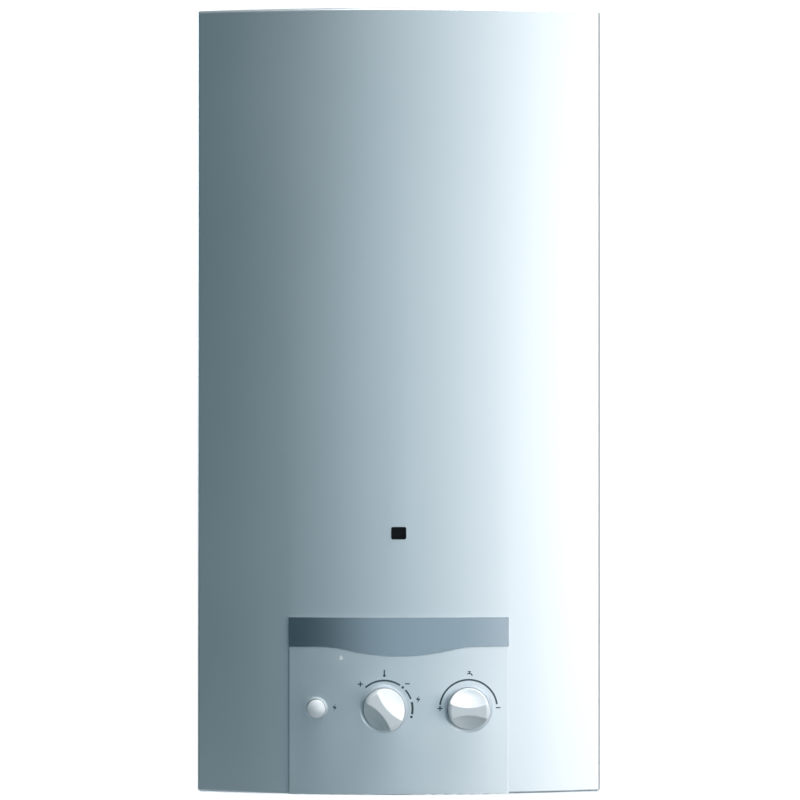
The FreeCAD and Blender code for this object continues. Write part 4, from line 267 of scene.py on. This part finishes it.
filter_plastic = surface("filter_plastic", (0.74, 0.74, 0.70), 0.5, mottle=60.0, contrast=0.03,
                         grain=1200.0)

FINISHES = {
    enamel: "front_casing",
    panel_plastic: "control_panel",
    strip_plastic: "panel_strip",
    knob_plastic: "power_knob temperature_knob igniter_button",
    black_plastic: "igniter_body igniter_nut sight_frame",
    zinc: "back_plate draught_hood diverter_baffle flue_collar exchanger_brackets valve_bracket"
          " connection_bracket",
    mica_painted_shade: "sight_glass",
    copper: "cold_pipe hot_pipe exchanger_tubes jacket_coil pilot_gas_tube thermocouple",
    tinned_copper: "exchanger_jacket exchanger_fins",
    brass: "cold_inlet hot_outlet gas_inlet union_nuts injectors temperature_spindle drain_plug"
           " venturi_insert rate_sleeve pushrod",
    cast_brass: "water_valve_body water_valve_cover",
    cast_alloy: "gas_valve_body gas_valve_cover selector_cap",
    burner_steel: "burner_bars burner_frame pilot_burner",
    plain_steel: "gas_manifold gas_pipe manifold_pipe safety_armature safety_magnet power_plunger"
                 " safety_thermostats",
    spring_steel: "power_spring igniter_spring gas_valve_spring",
    screw_steel: "casing_screws valve_screws",
    rubber: "diaphragm gas_valve_disc",
    silicone: "ignition_cable",
    ceramic: "ignition_electrode",
    filter_plastic: "water_filter",
}


def finish_nodes():
    done = set()
    for material, names in FINISHES.items():
        for name in names.split():
            node = nodes[name]
            node.data.materials.clear()
            node.data.materials.append(material)
            done.add(name)
    left = sorted(set(nodes) - done)
    assert not left, f"no finish for {left}"


# Springs, which shorten as their joints move; here each wire only becomes an object of its own on the root

def spring_coil(name, node):
    """The wire of a spring, copied to an object of its own on the root; the imported node is hidden."""
    piece = link(name, nodes[node].data.copy())
    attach(piece, "root")
    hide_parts(node)
    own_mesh(piece)


def spring_coils():
    spring_coil("power_coil", "power_spring")
    spring_coil("igniter_coil", "igniter_spring")
    spring_coil("gas_valve_coil", "gas_valve_spring")


# Print on the panel

def panel_y(x):
    return PANEL_CENTRE - math.sqrt(PANEL_RADIUS ** 2 - x * x)


def printed(name, outlines, ink):
    """Thin raised ink. Each outline, a list of (x, z) points, becomes one closed solid on the panel."""
    vertices = []
    faces = []
    for outline in outlines:
        count = len(outline)
        base = len(vertices)
        for offset in (-PRINT_PROUD, PRINT_SUNK):
            for x, z in outline:
                vertices.append((x, panel_y(x) + offset, z))
        faces.append([base + i for i in range(count)])
        faces.append([base + count + i for i in reversed(range(count))])
        for i in range(count):
            j = (i + 1) % count
            faces.append([base + j, base + i, base + count + i, base + count + j])
    mesh = bpy.data.meshes.new(name)
    mesh.from_pydata(vertices, [], faces)
    mesh.validate()
    mesh.materials.append(ink)
    piece = link(name, mesh)
    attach(piece, "root")
    return piece


def arc_strips(x, z, radius, span, width=ARC_WIDTH):
    """Short quads along an arc; the angles run clockwise from the top."""
    start, end = span
    count = max(1, round((end - start) / ARC_STEP))
    quads = []
    for i in range(count):
        a = math.radians(start + (end - start) * i / count)
        b = math.radians(start + (end - start) * (i + 1) / count)
        inner = radius - width / 2
        outer = radius + width / 2
        quads.append([(x + r * math.sin(t), z + r * math.cos(t))
                      for r, t in ((inner, a), (outer, a), (outer, b), (inner, b))])
    return quads


def disc(x, z, radius):
    turns = [math.tau * i / DISC_SIDES for i in range(DISC_SIDES)]
    return [(x + radius * math.sin(turn), z + radius * math.cos(turn)) for turn in turns]


def dot_on(x, z, radius, angle, size):
    a = math.radians(angle)
    return disc(x + radius * math.sin(a), z + radius * math.cos(a), size)


def minus(x, z, size):
    s = size / 2
    w = SIGN_WIDTH / 2
    return [(x - s, z - w), (x - s, z + w), (x + s, z + w), (x + s, z - w)]


def plus(x, z):
    s = PLUS_SIZE / 2
    w = SIGN_WIDTH / 2
    return [(x - w, z + s), (x + w, z + s), (x + w, z + w), (x + s, z + w), (x + s, z - w), (x + w, z - w),
            (x + w, z - s), (x - w, z - s), (x - w, z - w), (x - s, z - w), (x - s, z + w), (x - w, z + w)]


def placed(x, z, scale, shape):
    return [(x + u * scale, z + v * scale) for u, v in shape]


def bolt(x, z):
    return placed(x, z, BOLT_SCALE, [(1.1, 3.0), (-1.5, 0.5), (-1.3, -0.5), (0.2, -0.5), (-0.9, -3.0),
                                     (1.5, 0.0), (1.2, 0.8), (-0.1, 0.8)])


def tap(x, z):
    body = [(-2.6, -0.9), (-2.6, 0.3), (-0.4, 0.5), (1.1, 0.5), (2.3, -0.2), (2.9, -1.4), (2.9, -2.6),
            (1.9, -2.6), (1.8, -1.6), (1.1, -0.8), (0.2, -0.6)]
    stem = [(-0.9, 0.5), (-0.9, 1.5), (0.3, 1.5), (0.3, 0.5)]
    handle = [(-2.0, 1.5), (-2.0, 2.4), (1.4, 2.4), (1.4, 1.5)]
    return [placed(x, z, SYMBOL_SCALE, shape) for shape in (body, stem, handle)]


def thermometer(x, z):
    tube = [(-0.7, -1.4), (-0.7, 3.2), (-0.4, 3.7), (0.4, 3.7), (0.7, 3.2), (0.7, -1.4)]
    return [placed(x, z, SYMBOL_SCALE, tube), disc(x, z - 2.4 * SYMBOL_SCALE, 1.4 * SYMBOL_SCALE)]


def panel_print():
    power = arc_strips(POWER_X, CONTROL_Z, POWER_ARC, HEAT_RANGE)
    power += arc_strips(POWER_X, CONTROL_Z, POWER_ARC, IGNITION_RANGE)
    power += arc_strips(POWER_X, CONTROL_Z, POWER_ARC, PILOT_RANGE, PILOT_WIDTH)
    power += [dot_on(POWER_X, CONTROL_Z, POWER_ARC, angle, DOT_RADIUS) for angle in DOT_ANGLES]
    power.append(plus(POWER_X - 0.0206, CONTROL_Z + 0.0212))
    power.append(minus(POWER_X + 0.0199, CONTROL_Z + 0.0216, POWER_MINUS))
    power += thermometer(POWER_X + 0.0001, CONTROL_Z + 0.0306)
    power.append(bolt(POWER_X + 0.0292, CONTROL_Z + 0.0080))
    printed("power_marks", power, print_ink)

    warm = arc_strips(TEMPERATURE_X, CONTROL_Z, TEMPERATURE_ARC, WATER_RANGE)
    warm.append(plus(TEMPERATURE_X - 0.0246, CONTROL_Z + 0.0003))
    warm.append(minus(TEMPERATURE_X + 0.0256, CONTROL_Z + 0.0005, WATER_MINUS))
    warm += tap(TEMPERATURE_X + 0.0010, CONTROL_Z + 0.0302)
    printed("temperature_marks", warm, print_ink)

    printed("igniter_mark", [bolt(IGNITER_X + 0.0159, CONTROL_Z + 0.0008)], print_ink)
    printed("pale_triangle", [TRIANGLE], pale_ink)


# Stage: the heater hangs in front of the viewer, with a pale floor well below it

FLOOR_Z = BOTTOM - 1.25
FLOOR_HALF = 3.5
FLOOR_SPLIT = -0.3
WASH_Z = FLOOR_Z + 0.1
CAMERA_PLACE = (0.0011, -2.639, BOTTOM + 0.3500)
CAMERA_SHIFT = -0.0125
CAMERA_LENS = 125.0
BACKDROP = ((1.0, 1.0, 1.0, 1.0), 1.05)
AMBIENT = ((0.22, 0.80, 1.0, 1.0), 0.08)
WHITE = (1.0, 1.0, 1.0)

# Name, place, target, width and height, watts, colour
LIGHTS = [
    ("key", (2.53, -2.52, -0.4), (0.0, -0.24, -0.32), (3.3, 3.0), 68.0, (1.0, 0.965, 0.95)),
    ("key_edge", (0.41, -3.61, -0.4), (0.0, -0.24, -0.32), (1.8, 3.0), 13.0, (0.78, 0.93, 1.0)),
    ("upper_right", (0.8, -0.75, 1.9), (0.0, -0.25, -0.5), (1.6, 1.2), 72.0, WHITE),
    ("side_fill", (-2.4, 1.0, 0.4), (0.0, -0.1, -0.3), (1.5, 1.5), 25.0, (0.90, 0.96, 1.0)),
    ("back_fill", (0.3, 2.4, 1.1), (0.0, 0.0, -0.3), (2.0, 1.6), 32.0, WHITE),
    ("low_fill", (-1.5, -1.5, -1.75), (0.0, -0.25, -0.55), (1.0, 1.0), 3.0, (0.92, 0.97, 1.0)),
    ("floor_wash", (0.0, 0.0, WASH_Z), (0.0, 0.0, FLOOR_Z), (8.0, 8.0), 190.0, (1.0, 0.98, 0.96)),
]


def area_light(name, place, target, size, power, colour):
    light = bpy.data.lights.new(name, "AREA")
    light.shape = "RECTANGLE"
    light.size, light.size_y = size
    light.energy = power
    light.color = colour
    lamp = link(name, light)
    lamp.location = place
    lamp.rotation_euler = (Vector(target) - Vector(place)).to_track_quat("-Z", "Y").to_euler()
    return lamp


def floor_part(name, near, far, material):
    corners = [(-FLOOR_HALF, near, FLOOR_Z), (FLOOR_HALF, near, FLOOR_Z), (FLOOR_HALF, far, FLOOR_Z),
               (-FLOOR_HALF, far, FLOOR_Z)]
    mesh = bpy.data.meshes.new(name)
    mesh.from_pydata(corners, [], [(0, 1, 2, 3)])
    mesh.materials.append(material)
    part = link(name, mesh)
    return part


def floor():
    """The part in front of the heater keeps out of the casing's reflections."""
    pale = surface("floor_pale", (0.82, 0.82, 0.83), 0.6, mottle=3.0, contrast=0.01, grain=200.0)
    floor_part("floor_rear", FLOOR_SPLIT, FLOOR_HALF, pale)
    front = floor_part("floor_front", -FLOOR_HALF, FLOOR_SPLIT, pale)
    front.visible_diffuse = False
    front.visible_glossy = False


def lights():
    lamps = {row[0]: area_light(*row) for row in LIGHTS}
    lamps["floor_wash"].visible_camera = False


def background(tree, colour, strength):
    node = add(tree, "ShaderNodeBackground")
    node.inputs["Color"].default_value = colour
    node.inputs["Strength"].default_value = strength
    return node.outputs["Background"]


def world():
    """A white backdrop for the camera and a faint cool light for everything else."""
    studio = bpy.data.worlds.new("studio")
    bpy.context.scene.world = studio
    studio.use_nodes = True
    tree = studio.node_tree
    tree.nodes.clear()
    output = add(tree, "ShaderNodeOutputWorld")
    path = add(tree, "ShaderNodeLightPath")
    mix = add(tree, "ShaderNodeMixShader")
    feed(tree, path.outputs["Is Camera Ray"], mix.inputs["Fac"])
    feed(tree, background(tree, *AMBIENT), mix.inputs[1])
    feed(tree, background(tree, *BACKDROP), mix.inputs[2])
    feed(tree, mix.outputs["Shader"], output.inputs["Surface"])


def camera():
    lens = bpy.data.cameras.new("camera")
    lens.lens = CAMERA_LENS
    lens.sensor_width = 36.0
    lens.shift_y = CAMERA_SHIFT
    viewer = link("camera", lens)
    viewer.location = CAMERA_PLACE
    viewer.rotation_euler = (math.pi / 2, 0.0, 0.0)
    bpy.context.scene.camera = viewer
    bpy.context.scene.view_settings.view_transform = "Standard"
    bpy.context.scene.view_settings.look = "None"


finish_nodes()
spring_coils()
panel_print()
floor()
lights()
world()
camera()

bpy.context.view_layer.update()
